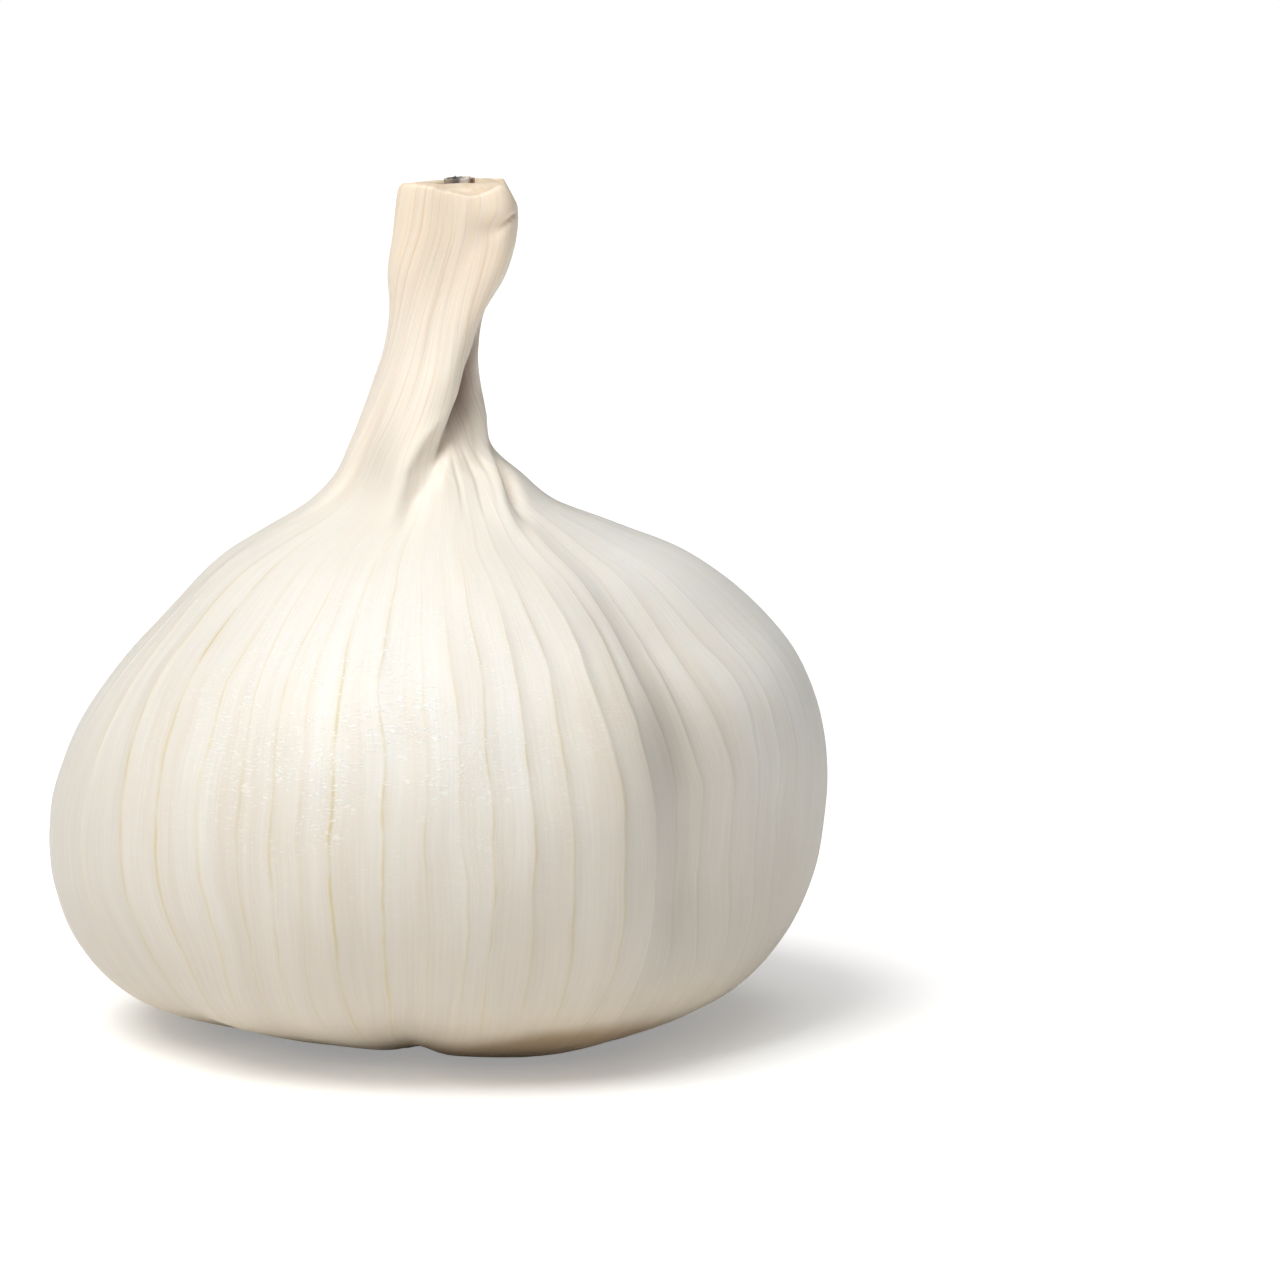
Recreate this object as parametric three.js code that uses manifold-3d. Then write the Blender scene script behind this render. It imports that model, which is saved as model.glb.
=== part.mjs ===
// A dried garlic bulb, standing on its root end.
// Three solids: the papery bulb with its twisted neck, the dry stalk in the neck's cut end, and
// the corky root plate in a pocket of the underside.
// Millimetres and degrees, +Z up. The bulb stands on z = 0 with its box centred on the z axis.
// Angles run counter-clockwise seen from above: 0 is right (+X), -90 is the front (-Y).

import * as THREE from 'three';
import { mergeVertices } from 'three/addons/utils/BufferGeometryUtils.js';
import Module from 'manifold-3d';

// ---- driving dimensions ----

const growthAxis = -0.6;          // x of the line that the bulb grew round
const neckTwist = 31;             // how far the skin is turned in the middle of the neck,
const cutTwist = 48;              // and at the cut

const veinCount = 60;             // veins round the bulb, each the crest of one strip of skin
const stripLow = 0.32;            // where a strip is lowest, as a share of the way to the next vein
const bodyRib = 0.1;              // height of the strips' saw-tooth on the body,
const pleatRib = 0.15;            // extra height of the pleats in the big front valley,
const neckRib = 0.12;             // and height of the ribs on the neck
const pleatAngle = -40;           // middle of the pleats, and their half width
const pleatWidth = 18;

const bodyFade = [38, 43];        // heights between which the body's strips fade out,
const neckFade = [39, 44];        // the neck's ribs begin,
const pleatFade = [10, 22];       // and the pleats begin
const wanderFade = [38, 44];      // and between which the veins stop wandering
const bellyFade = [4, 15];        // heights where the valleys' depth passes from foot to belly,
const shoulderFade = [18, 31];    // from belly to shoulder,
const valleyEnd = [32, 40];       // and from shoulder to nothing

const neckTop = 64.5;             // height of the cut rim
const cutCentre = [1.1, 0.3];     // middle of the cut rim
const cutFade = [58, 64];         // heights between which the cut's tilt sets in
const cutTiltX = 0.05;            // the cut rises this much for each millimetre to the right,
const cutTiltY = 0.14;            // and to the back
const rimBends = [[-50, 32, -0.4], [-145, 38, 0.6]];   // angle, half width, rise of the rim there
const bendFade = [62, 64.6];      // heights between which the rim's bends set in
const cornerAngle = 30;           // lean of the pressed corner at the rim's right side
const cornerReach = 36.85;        // distance of that corner's plane from the origin
const cornerStart = 56;           // lowest height that it can reach

const stalkCentre = [1.7, 1.0];   // middle of the dry stalk
const stalkUnder = 62.55;         // its underside and top, before the cut's tilt
const stalkTop = 64.9;
const stalkReach = [1.2, 0.55, 1.2, 0.55];   // right, back, left, front

const plateRadius = 7.0;          // root plate
const plateTop = 2.65;
const plateUnder = 1.5;
const knobRadius = 1.1;           // remains of the old stem in the plate's middle
const knobUnder = 0.75;
const stubTip = 0.3;              // height of the trimmed ends of the roots
const stubRadius = 0.5;
const stubSides = 5;
const stubSunk = 0.6;             // how far a root's top is sunk in the plate
const stubLean = 0.3;             // most that a root leans outwards, as a slope
const stubRings = [[2.9, 7], [4.4, 11], [5.9, 15]];   // ring radius, roots on it

// Sections of the bulb from the middle of the root pocket, over the foot, belly, shoulder and
// neck, to the rim, over the cut and down into the stalk's hole: height, reach to the right, back,
// left and front of the section's own centre, that centre's x and y, and how far the skin has
// twisted.
const sections = [
  [3.0, 0.0, 0.0, 0.0, 0.0, growthAxis, 0, 0],
  [3.0, 6.4, 6.4, 6.4, 6.4, growthAxis, 0, 0],
  [2.6, 7.4, 7.4, 7.4, 7.4, growthAxis, 0, 0],
  [0.8, 7.8, 7.8, 7.8, 7.8, growthAxis, 0, 0],
  [-0.2, 8.8, 8.8, 8.8, 8.8, growthAxis, 0, 0],
  [-0.2, 10.6, 10.6, 10.6, 10.6, growthAxis, 0, 0],
  [1.0, 17.0, 16.0, 17.4, 15.6, growthAxis, 0, 0],
  [3.3, 23.4, 21.2, 23.7, 21.0, growthAxis, 0, 0],
  [7.0, 27.4, 25.6, 27.4, 25.8, growthAxis, 0, 0],
  [12.0, 30.1, 28.2, 29.2, 28.4, growthAxis, 0, 0],
  [17.3, 30.9, 29.0, 29.2, 29.2, growthAxis, 0, 0],
  [22.7, 30.8, 28.2, 27.6, 28.4, growthAxis, 0, 0],
  [28.0, 28.9, 25.6, 24.2, 25.8, growthAxis, 0, 0],
  [32.5, 25.2, 21.8, 20.3, 21.8, growthAxis, 0, 0],
  [36.2, 20.3, 17.0, 16.4, 17.0, growthAxis, 0, 0],
  [38.5, 14.6, 12.6, 12.8, 12.8, growthAxis, 0, 0],
  [40.4, 9.8, 9.4, 9.6, 9.6, growthAxis, 0, 3],
  [42.5, 7.5, 7.2, 7.1, 7.6, -0.9, 0.0, 7],
  [44.7, 5.6, 6.0, 5.5, 6.2, -1.4, 0.1, 14],
  [47.3, 4.8, 5.0, 4.6, 5.2, -1.2, 0.2, 22],
  [49.8, 4.2, 4.2, 4.0, 4.5, -0.9, 0.3, 28],
  [52.2, 3.7, 3.6, 3.6, 3.8, -0.5, 0.3, 30],
  [55.0, 3.75, 3.2, 3.65, 3.3, 0.0, 0.3, neckTwist],
  [58.0, 4.75, 2.9, 4.35, 3.0, 0.6, 0.3, 36],
  [61.0, 5.0, 2.8, 4.45, 2.9, ...cutCentre, 42],
  [62.9, 5.0, 2.7, 4.25, 2.8, ...cutCentre, 46],
  [64.2, 4.75, 2.6, 4.0, 2.7, ...cutCentre, cutTwist],
  [neckTop, 4.45, 2.4, 3.7, 2.5, ...cutCentre, cutTwist],
  [64.55, 3.8, 2.05, 3.5, 2.1, 1.2, 0.4, cutTwist],
  [64.6, 2.8, 1.55, 2.6, 1.6, 1.4, 0.6, cutTwist],
  [64.65, 1.8, 1.1, 1.8, 1.1, ...stalkCentre, cutTwist],
  [63.8, 1.55, 0.9, 1.55, 0.9, ...stalkCentre, cutTwist],
  [62.4, 1.5, 0.85, 1.5, 0.85, ...stalkCentre, cutTwist],
  [62.2, 1.2, 0.65, 1.2, 0.65, ...stalkCentre, cutTwist],
  [62.2, 0.0, 0.0, 0.0, 0.0, ...stalkCentre, cutTwist],
];

// places along that list
const footSection = 5;            // outer edge of the flat ring that the bulb stands on
const shoulderSection = 16;       // foot of the neck
const rimSection = 27;            // the cut rim
const bodySpacing = 0.7;          // rings of points on the body, and on the neck
const neckSpacing = 0.5;
const pocketFade = [3.4, 5];      // where lobes and folds set in, past the smooth root pocket,
const rimFade = [26.5, 28];       // and end, at the cut rim
const bendEnd = [27.3, 29.5];     // where the rim's bends end on the cut
const ribFade = [5, 8];           // where the strips set in under the foot
const swayFade = [6, 9];          // and where the veins begin to wander

// Valleys between the cloves: angle, half width to the left and to the right, depth at the foot,
// belly and shoulder.
const valleys = [
  [-42, 10, 32, 0.4, 3.7, 1.9],
  [-93, 7, 7, 0.6, 0.2, 0.15],
  [-142, 10, 10, 0.5, 0.45, 0.35],
  [160, 10, 10, 1.2, 1.1, 1.2],
  [122, 11, 11, 1.2, 1.5, 1.7],
  [82, 10, 10, 1.4, 1.2, 1.4],
  [38, 11, 11, 1.3, 1.4, 1.6],
];

// Folds of the neck, each a path upwards: height, angle, depth (less than zero stands proud),
// half width to the left and half width to the right of the path.
const folds = [
  // deep recess beside the sheath's overlapping edge, climbing round to the right
  [[44.2, -74, 0, 4, 18], [45.5, -68, 0.7, 3.5, 24], [47.4, -59, 1.5, 3.5, 26],
    [49, -50, 2.0, 3.5, 28], [50.8, -42, 2.0, 4, 25], [52.5, -26, 1.15, 5, 18],
    [53.8, -13, 0.45, 7, 14], [55.5, 0, 0.1, 10, 12], [57, 10, 0, 10, 12]],
  // the overlapping edge itself
  [[45, -80, 0, 12, 6], [47, -70, -0.2, 14, 7], [49, -60, -0.3, 16, 8], [50.8, -54, -0.3, 16, 9],
    [52.5, -38, -0.2, 16, 10], [54.5, -15, 0, 16, 10]],
  // soft dent under the edge, running down to the shoulder, and the ridge on its left
  [[38.5, -101, 0, 4, 4], [40.2, -99, 0.35, 4, 5], [41.8, -95, 0.6, 6, 6], [43.1, -84, 0.85, 12, 5],
    [44.3, -76, 0.8, 12, 5], [45.5, -68, 0.45, 12, 5], [47, -61, 0, 10, 5]],
  [[39.5, -104, 0, 8, 3], [41.8, -101, -0.15, 8, 3], [43.3, -98, -0.25, 8, 3],
    [46, -81, -0.25, 8, 3], [47.5, -70, 0, 8, 3]],
  // crease between the neck and the right shoulder, and the strut that runs down beside it
  [[39, -50, 0, 3, 4], [40, -45, 0.15, 3, 5], [41, -41, 0.4, 2.5, 6], [42.2, -36, 1.2, 2.5, 8],
    [43.1, -31, 1.5, 3, 10], [44.3, -18, 0.7, 5, 12], [45.5, -10, 0, 6, 12]],
  [[38.8, -58, 0, 6, 4], [40, -53, -0.3, 7, 4], [41.2, -49, -0.5, 8, 4], [43, -41, -0.6, 10, 5],
    [44.3, -30, -0.4, 12, 8], [47, -10, -0.2, 12, 10], [50, 10, 0, 12, 10]],
  // swell that makes the neck's front flat and leads into the overlapping edge
  [[45, -88, 0, 14, 14], [48, -76, -0.35, 16, 14], [51, -66, -0.75, 18, 15],
    [53, -56, -1.05, 22, 14], [55, -46, -1.2, 26, 15], [58, -36, -1.0, 20, 16],
    [60, -32, -0.85, 14, 18], [63, -32, -0.75, 13, 18], [65, -32, -0.45, 13, 18]],
  // long folds on the left, at the back and under the cut
  [[39.5, -150, 0, 6, 8], [42, -146, 0.4, 5, 9], [45, -138, 0.35, 5, 10], [49, -130, 0.2, 6, 10],
    [54, -128, 0, 6, 10]],
  [[40, 70, 0, 10, 12], [44, 78, 0.7, 9, 14], [49, 95, 0.9, 8, 16], [55, 112, 0.5, 8, 14],
    [62, 120, 0.2, 8, 10], [64.8, 120, 0.2, 8, 10]],
  [[56, -106, 0, 4, 7], [59, -101, 0.06, 4, 8], [62, -97, 0.1, 4, 8], [64.8, -95, 0.1, 4, 8]],
];

// Lumps and hollows: angle, height, half width, half height, depth (less than zero is a lump).
const spots = [
  [-48, 1.8, 26, 3.2, -0.75],
  [-118, 1.2, 30, 3.0, 0.45],
  [-176, 31.5, 26, 4.2, 0.35],
  [-42, 61.5, 20, 1.1, 0.35],
];

// Slow sideways sways of the veins: size, waves round the bulb, height of a radian, start.
const sways = [
  [0.8, 3, 7.3, 40],
  [0.5, 7, -4.1, 0],
  [0.35, 13, 2.7, 0],
];

// ---- small functions ----

const radians = THREE.MathUtils.degToRad;
const bell = (x) => Math.exp(-x * x);

// passes smoothly from 0 to 1 as the value goes through a range
const fade = (range, value) => THREE.MathUtils.smoothstep(value, range[0], range[1]);

// the turn from one angle to another, between -180 and 180
const turn = (angle) => THREE.MathUtils.euclideanModulo(angle + 180, 360) - 180;

// the same number between 0 and 1 each time for a whole number and a seed
function chance(index, seed) {
  const value = Math.sin((index + 1) * 12.9898 + seed * 78.233) * 43758.5453;
  return THREE.MathUtils.euclideanModulo(value, 1);
}

// how far an oval reaches at an angle, from its reach to the right, back, left and front
function ovalReach([right, back, left, front], c, s) {
  return (c > 0 ? right : left) * c * c + (s > 0 ? back : front) * s * s;
}

// one column of the sections, carried smoothly through all the rows
function sectionValue(column, position) {
  const last = sections.length - 1;
  const place = Math.min(Math.max(position, 0), last);
  const i = Math.min(Math.floor(place), last - 1);
  const t = place - i;
  const before = sections[Math.max(i - 1, 0)][column];
  const from = sections[i][column];
  const to = sections[i + 1][column];
  const after = sections[Math.min(i + 2, last)][column];
  const leave = (to - before) / 2;
  const arrive = (after - from) / 2;
  const cubic = (2 * from - 2 * to + leave + arrive) * t ** 3;
  const square = (3 * to - 3 * from - 2 * leave - arrive) * t ** 2;
  return cubic + square + leave * t + from;
}

// depth of one fold at an angle and height
function foldDepth(path, angle, height) {
  const next = path.findIndex((row) => row[0] > height);
  if (next < 1) return 0;
  const from = path[next - 1];
  const to = path[next];
  const share = (height - from[0]) / (to[0] - from[0]);
  const [, middle, depth, leftWidth, rightWidth] = from.map((v, k) => v + (to[k] - v) * share);
  const away = turn(angle - middle);
  return depth * bell(away / (away < 0 ? leftWidth : rightWidth));
}

// depth of all the valleys between the cloves
function valleyDepth(angle, height) {
  const belly = fade(bellyFade, height);
  const shoulder = fade(shoulderFade, height);
  const end = fade(valleyEnd, height);
  let depth = 0;
  for (const [middle, left, right, atFoot, atBelly, atShoulder] of valleys) {
    const low = atFoot * (1 - belly) + atBelly * belly * (1 - shoulder);
    const away = turn(angle - middle);
    const across = bell(away / (away < 0 ? left : right));
    depth += (low + atShoulder * shoulder * (1 - end)) * across;
  }
  return depth;
}

// saw-tooth of the strips of skin: highest on a vein, lowest just past it
function stripHeight(vein, share) {
  const here = 0.4 + 0.6 * chance(vein, 1);
  const next = 0.4 + 0.6 * chance((vein + 1) % veinCount, 1);
  if (share < stripLow) return here * (1 - share / stripLow);
  return (next * (share - stripLow)) / (1 - stripLow);
}

// sideways wander of the veins on the body
function wander(angle, height, position) {
  let sum = 0;
  for (const [size, waves, rise, start] of sways) {
    sum += size * Math.sin(radians(waves * angle + start) + height / rise);
  }
  return sum * fade(swayFade, position) * (1 - fade(wanderFade, height));
}

// the cut across the neck isn't level
function tiltCut(point, amount) {
  const rise = cutTiltX * (point.x - cutCentre[0]) + cutTiltY * (point.y - cutCentre[1]);
  point.z += amount * rise;
}

// the rim rises and falls a little on its way round
function bendRim(point, angle, amount) {
  for (const [middle, width, rise] of rimBends) {
    point.z += amount * rise * bell(turn(angle - middle) / width);
  }
}

// the corner at the right of the rim is pressed flat: what stands past its plane moves onto it
function pressCorner(point) {
  const lean = radians(cornerAngle);
  const normal = new THREE.Vector3(Math.cos(lean), 0, Math.sin(lean));
  const past = point.dot(normal) - cornerReach;
  if (past > 0) point.addScaledVector(normal, -past);
}

// A closed solid from rings of points between two poles, all in the same turning sense.
function ringSolid(rings, firstPole, lastPole) {
  const around = rings[0].length;
  const points = [firstPole, ...rings.flat(), lastPole];
  const end = points.length - 1;
  const faces = [];
  for (let k = 0; k < around; k += 1) {
    const next = (k + 1) % around;
    faces.push(0, 1 + next, 1 + k);
    for (let row = 0; row < rings.length - 1; row += 1) {
      const low = 1 + row * around;
      const high = low + around;
      faces.push(low + k, low + next, high + next, low + k, high + next, high + k);
    }
    faces.push(end, end - around + k, end - around + next);
  }
  const geometry = new THREE.BufferGeometry().setFromPoints(points);
  geometry.setIndex(faces);
  return geometry;
}

// ---- the bulb ----

// A point of the skin. The section's four reaches are blended round its centre. Then strips,
// valleys, folds and spots move the point along the outward slope of the outline.
function skinPoint(vein, share, position) {
  const section = sections[0].map((_, k) => sectionValue(k, position));
  const [height, right, back, left, front, x, y, twist] = section;
  const nudge = 0.02;
  const change = (k) => sectionValue(k, position + nudge) - sectionValue(k, position - nudge);
  const rise = change(0);
  const run = (change(1) + change(2) + change(3) + change(4)) / 4;
  const slope = Math.hypot(rise, run) || 1;

  const grown = (360 * (vein + share)) / veinCount;
  const angle = grown + twist + wander(grown, height, position);
  const c = Math.cos(radians(angle));
  const s = Math.sin(radians(angle));

  const onBody = fade(ribFade, position) * (1 - fade(bodyFade, height));
  const inPleats = bell(turn(grown - pleatAngle) / pleatWidth) * fade(pleatFade, height);
  const rib = (bodyRib + pleatRib * inPleats) * onBody + neckRib * fade(neckFade, height);
  let lift = rib * (stripHeight(vein, share) - 0.5) - valleyDepth(grown, height);
  for (const path of folds) lift -= foldDepth(path, angle, height);
  for (const [middle, level, width, tall, depth] of spots) {
    lift -= depth * bell(turn(angle - middle) / width) * bell((height - level) / tall);
  }
  lift *= fade(pocketFade, position) * (1 - fade(rimFade, position));

  const radius = ovalReach([right, back, left, front], c, s) + (lift * rise) / slope;
  const point = new THREE.Vector3(x + radius * c, y + radius * s, height - (lift * run) / slope);
  if (position > pocketFade[0]) point.z = Math.max(point.z, 0);
  tiltCut(point, fade(cutFade, height));
  bendRim(point, angle, fade(bendFade, height) * (1 - fade(bendEnd, position)));
  if (height > cornerStart) pressCorner(point);
  return point;
}

// where the rings of points lie along the sections: closest on the neck and its folds
function ringPositions() {
  const positions = [];
  for (let p = 1; p < footSection; p += 1) positions.push(p);
  for (let p = footSection; p < shoulderSection; p += bodySpacing) positions.push(p);
  for (let p = shoulderSection; p < rimSection; p += neckSpacing) positions.push(p);
  for (let p = rimSection; p < sections.length - 1; p += 1) positions.push(p);
  return positions;
}

function bulb() {
  const rings = ringPositions().map((position) => {
    const ring = [];
    for (let vein = 0; vein < veinCount; vein += 1) {
      ring.push(skinPoint(vein, 0, position), skinPoint(vein, stripLow, position));
    }
    return ring;
  });
  return ringSolid(rings, skinPoint(0, 0, 0), skinPoint(0, 0, sections.length - 1));
}

// ---- the dry stalk in the cut end ----

// Nested leaf bases: a small oval stub whose top steps down and up between its layers.
function stalk() {
  const outline = [
    [0.7, stalkUnder], [0.95, stalkUnder + 0.15], [1, stalkUnder + 0.5], [1, stalkTop - 0.1],
    [0.86, stalkTop], [0.66, stalkTop - 0.25], [0.5, stalkTop - 0.25], [0.3, stalkTop + 0.1],
    [0.12, stalkTop + 0.05],
  ];
  const around = 32;
  const unevenness = 0.05;
  const place = (share, angle, height) => {
    const reach = share * ovalReach(stalkReach, Math.cos(angle), Math.sin(angle));
    const x = stalkCentre[0] + reach * Math.cos(angle);
    const y = stalkCentre[1] + reach * Math.sin(angle);
    const point = new THREE.Vector3(x, y, height);
    tiltCut(point, 1);
    return point;
  };
  const rings = outline.map(([share, height], row) => {
    const ring = [];
    for (let k = 0; k < around; k += 1) {
      const uneven = 1 - unevenness * chance(k, Math.max(row, 4));
      ring.push(place(share * uneven, (2 * Math.PI * k) / around, height));
    }
    return ring;
  });
  return ringSolid(rings, place(0, 0, stalkUnder), place(0, 0, stalkTop - 0.1));
}

// ---- the root plate ----

const wasm = await Module();
wasm.setup();

// geometry to manifold solid, with its shared vertices merged
function toSolid(geometry) {
  const plain = geometry.clone();
  plain.deleteAttribute('normal');
  plain.deleteAttribute('uv');
  const merged = mergeVertices(plain, 1e-4);
  return new wasm.Manifold(new wasm.Mesh({
    numProp: 3,
    vertProperties: merged.attributes.position.array,
    triVerts: new Uint32Array(merged.index.array),
  }));
}

function toGeometry(solid) {
  const mesh = solid.getMesh();
  const geometry = new THREE.BufferGeometry();
  geometry.setAttribute('position', new THREE.BufferAttribute(mesh.vertProperties, 3));
  geometry.setIndex(new THREE.BufferAttribute(mesh.triVerts, 1));
  return geometry;
}

// a trimmed root: a tapered prism leaning outwards, its top sunk in the plate
function rootStub(distance, angle, index) {
  const top = plateUnder + stubSunk;
  const length = (top - stubTip) * (1 - 0.15 * chance(index, 12));
  const width = stubRadius * (0.8 + 0.4 * chance(index, 13));
  const lean = stubLean * chance(index, 14);
  const stub = new THREE.CylinderGeometry(width, width * 0.75, length, stubSides);
  stub.rotateX(Math.PI / 2);
  stub.rotateZ(angle + index);
  stub.applyMatrix4(new THREE.Matrix4().set(
    1, 0, -lean * Math.cos(angle), 0,
    0, 1, -lean * Math.sin(angle), 0,
    0, 0, 1, 0,
    0, 0, 0, 1,
  ));
  const x = growthAxis + distance * Math.cos(angle);
  return stub.translate(x, distance * Math.sin(angle), top - length / 2);
}

// a shallow corky disc with a knob in its middle, and the trimmed roots fused to its underside
function rootPlate() {
  const outline = [
    [0, knobUnder], [knobRadius, knobUnder], [knobRadius + 0.6, plateUnder], [4.6, plateUnder + 0.1],
    [6.3, plateUnder - 0.5], [plateRadius, plateUnder - 0.3], [plateRadius, 2.0], [6.2, plateTop],
    [0, plateTop],
  ];
  const disc = new THREE.LatheGeometry(outline.map(([r, z]) => new THREE.Vector2(r, z)), 48);
  disc.rotateX(Math.PI / 2);
  disc.translate(growthAxis, 0, 0);
  let plate = toSolid(disc);
  let index = 0;
  for (const [distance, count] of stubRings) {
    for (let k = 0; k < count; k += 1) {
      const angle = (2 * Math.PI * (k + 0.35 * chance(index, 10))) / count;
      const offset = 0.5 * (chance(index, 11) - 0.5);
      plate = plate.add(toSolid(rootStub(distance + offset, angle, index)));
      index += 1;
    }
  }
  return toGeometry(plate);
}

// ---- the whole ----

function piece(name, geometry, color, roughness) {
  const material = new THREE.MeshStandardMaterial({ color, roughness, metalness: 0 });
  const mesh = new THREE.Mesh(geometry, material);
  mesh.name = name;
  return mesh;
}

const garlic = new THREE.Group();
garlic.add(
  piece('bulb', bulb(), 0xece5d8, 0.55),
  piece('stalk_stub', stalk(), 0x8d8578, 0.85),
  piece('root_plate', rootPlate(), 0xb89a72, 0.9),
);

export default garlic;
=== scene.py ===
import math

import bpy
import numpy as np
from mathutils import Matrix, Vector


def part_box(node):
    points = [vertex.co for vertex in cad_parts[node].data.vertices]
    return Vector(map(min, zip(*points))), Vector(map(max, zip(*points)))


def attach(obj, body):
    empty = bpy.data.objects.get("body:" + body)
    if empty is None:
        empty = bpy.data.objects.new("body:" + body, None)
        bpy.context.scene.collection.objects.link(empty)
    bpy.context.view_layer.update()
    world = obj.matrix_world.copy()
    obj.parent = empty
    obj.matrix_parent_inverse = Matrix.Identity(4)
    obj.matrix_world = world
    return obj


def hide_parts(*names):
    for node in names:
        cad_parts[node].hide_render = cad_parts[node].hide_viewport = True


# A dried garlic bulb: papery bulb with twisted neck, dry stalk in the cut end, corky root plate.
# Blender works in metres. Shapes are worked out in millimetres and made metres in newPiece.
# Angles are in degrees, counter-clockwise from above: 0 is right (+X), -90 is the front (-Y).

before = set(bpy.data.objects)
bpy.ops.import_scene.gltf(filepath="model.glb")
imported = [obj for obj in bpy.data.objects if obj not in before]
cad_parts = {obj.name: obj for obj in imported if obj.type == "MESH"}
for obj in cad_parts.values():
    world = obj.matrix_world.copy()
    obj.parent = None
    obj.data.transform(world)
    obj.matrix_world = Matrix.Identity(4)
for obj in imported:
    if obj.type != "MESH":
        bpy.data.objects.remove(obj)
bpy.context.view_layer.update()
mm = 0.001

camera = {
    "aim": (15.4, 0.0, 29.8),  # mm, point in the middle of the picture
    "distance": 327.0,         # mm
    "elevation": 8.0,
    "lens": 120.0,             # on a 36 mm wide sensor
}


# camera on a circle round the aim, lifted by the elevation and looking back at the aim
def makeCamera():
    data = bpy.data.cameras.new("camera")
    data.lens = camera["lens"]
    data.sensor_width = 36
    data.clip_start = 0.01
    data.clip_end = 20
    item = bpy.data.objects.new("camera", data)
    lift = math.radians(camera["elevation"])
    x, y, z = camera["aim"]
    reach = camera["distance"]
    item.location = (x * mm, (y - reach * math.cos(lift)) * mm, (z + reach * math.sin(lift)) * mm)
    item.rotation_euler = (math.pi / 2 - lift, 0, 0)
    bpy.context.collection.objects.link(item)
    bpy.context.scene.camera = item


makeCamera()
print("camera made")


# small functions on arrays

# 0 below the range, 1 above it, a smooth S between
def fade(low, high, value):
    t = np.clip((value - low) / (high - low), 0, 1)
    return t * t * (3 - 2 * t)


# e to the power of minus x squared
def bell(x):
    return np.exp(-x * x)


# an angle brought between -180 and 180
def turn(angle):
    return (angle + 180) % 360 - 180


# fractional part of a large multiple of a sine: the same draw each time for a number and a seed
def chance(index, seed):
    return (np.sin((index + 1) * 12.9898 + seed * 78.233) * 43758.5453) % 1


# smooth noise from -1 to 1: draws on a lattice, blended by S curves; it repeats every `around` in x
def ripple(x, y, around, seed):
    x, y = np.broadcast_arrays(x, y)
    i, j = np.floor(x), np.floor(y)
    s, t = fade(0, 1, x - i), fade(0, 1, y - j)

    # the draw at a point of the lattice
    def draw(a, b):
        return chance((a % around) * 1.37 + b * 61.7, seed)

    low = draw(i, j) * (1 - s) + draw(i + 1, j) * s
    high = draw(i, j + 1) * (1 - s) + draw(i + 1, j + 1) * s
    return 2 * (low * (1 - t) + high * t) - 1


# Catmull-Rom curve through the rows of a table, at places counted in rows
def throughRows(table, place):
    rows = np.asarray(table, float)
    last = len(rows) - 1
    place = np.clip(place, 0, last)
    i = np.minimum(np.floor(place).astype(int), last - 1)
    t = (place - i)[:, None]
    before, start = rows[np.maximum(i - 1, 0)], rows[i]
    end, after = rows[i + 1], rows[np.minimum(i + 2, last)]
    leave, arrive = (end - before) / 2, (after - start) / 2
    cubic = (2 * start - 2 * end + leave + arrive) * t ** 3
    square = (3 * end - 3 * start - 2 * leave - arrive) * t ** 2
    return cubic + square + leave * t + start


# reach of an oval with four half axes: each is weighted by the square of the direction's part
def ovalReach(right, back, left, front, c, s):
    return np.where(c > 0, right, left) * c * c + np.where(s > 0, back, front) * s * s


# pieces from arrays

# Quads between the rings of a grid that closes on itself round the rings, with a fan at each end.
# Points are ordered ring by ring, then the two poles.
def gridFaces(rings, around):
    k = np.arange(around)
    nextK = (k + 1) % around
    low = (np.arange(rings - 1) * around)[:, None]
    quads = np.stack([low + k, low + nextK, low + around + nextK, low + around + k], -1).reshape(-1, 4)
    first, last = rings * around, rings * around + 1
    end = (rings - 1) * around
    bottom = np.stack([np.full(around, first), nextK, k], -1)
    top = np.stack([np.full(around, last), end + k, end + nextK], -1)
    return quads, np.concatenate([bottom, top])


# a smooth-shaded object at the origin from points in millimetres and faces of three or four corners;
# node is the solid that it stands for, if there is one
def newPiece(name, points, quads, triangles, material, node):
    mesh = bpy.data.meshes.new(name)
    mesh.vertices.add(len(points))
    mesh.vertices.foreach_set("co", (points * mm).astype(np.float32).ravel())
    corners = np.concatenate([quads.ravel(), triangles.ravel()]).astype(np.int32)
    starts = np.concatenate([np.arange(len(quads)) * 4, len(quads) * 4 + np.arange(len(triangles)) * 3])
    mesh.loops.add(len(corners))
    mesh.loops.foreach_set("vertex_index", corners)
    mesh.polygons.add(len(starts))
    mesh.polygons.foreach_set("loop_start", starts.astype(np.int32))
    mesh.update(calc_edges=True)
    mesh.validate()
    mesh.shade_smooth()
    mesh.materials.append(material)
    item = bpy.data.objects.new(name, mesh)
    bpy.context.collection.objects.link(item)
    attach(item, "root")
    if node:
        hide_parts(node)
    return item


# UV map of a piece made of rings: U is the coordinate round it, with one added where a face crosses
# the seam, and V is the share of the way along its outline
def addStripMap(item, ring, along, quads, fans):
    around = ring.shape[1]
    u = np.concatenate([ring.ravel(), [0.5, 0.5]])
    v = np.concatenate([np.repeat(along, around), [0, 1]])
    column = np.concatenate([np.tile(np.arange(around), ring.shape[0]), [-1, -1]])
    layer = item.data.uv_layers.new(name="strips")
    pairs = []
    for faces in (quads, fans):
        atSeam = (column[faces] == 0) & (column[faces] == around - 1).any(1, keepdims=True)
        pairs.append(np.stack([u[faces] + atSeam, v[faces]], -1).reshape(-1, 2))
    layer.data.foreach_set("uv", np.concatenate(pairs).astype(np.float32).ravel())


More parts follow.
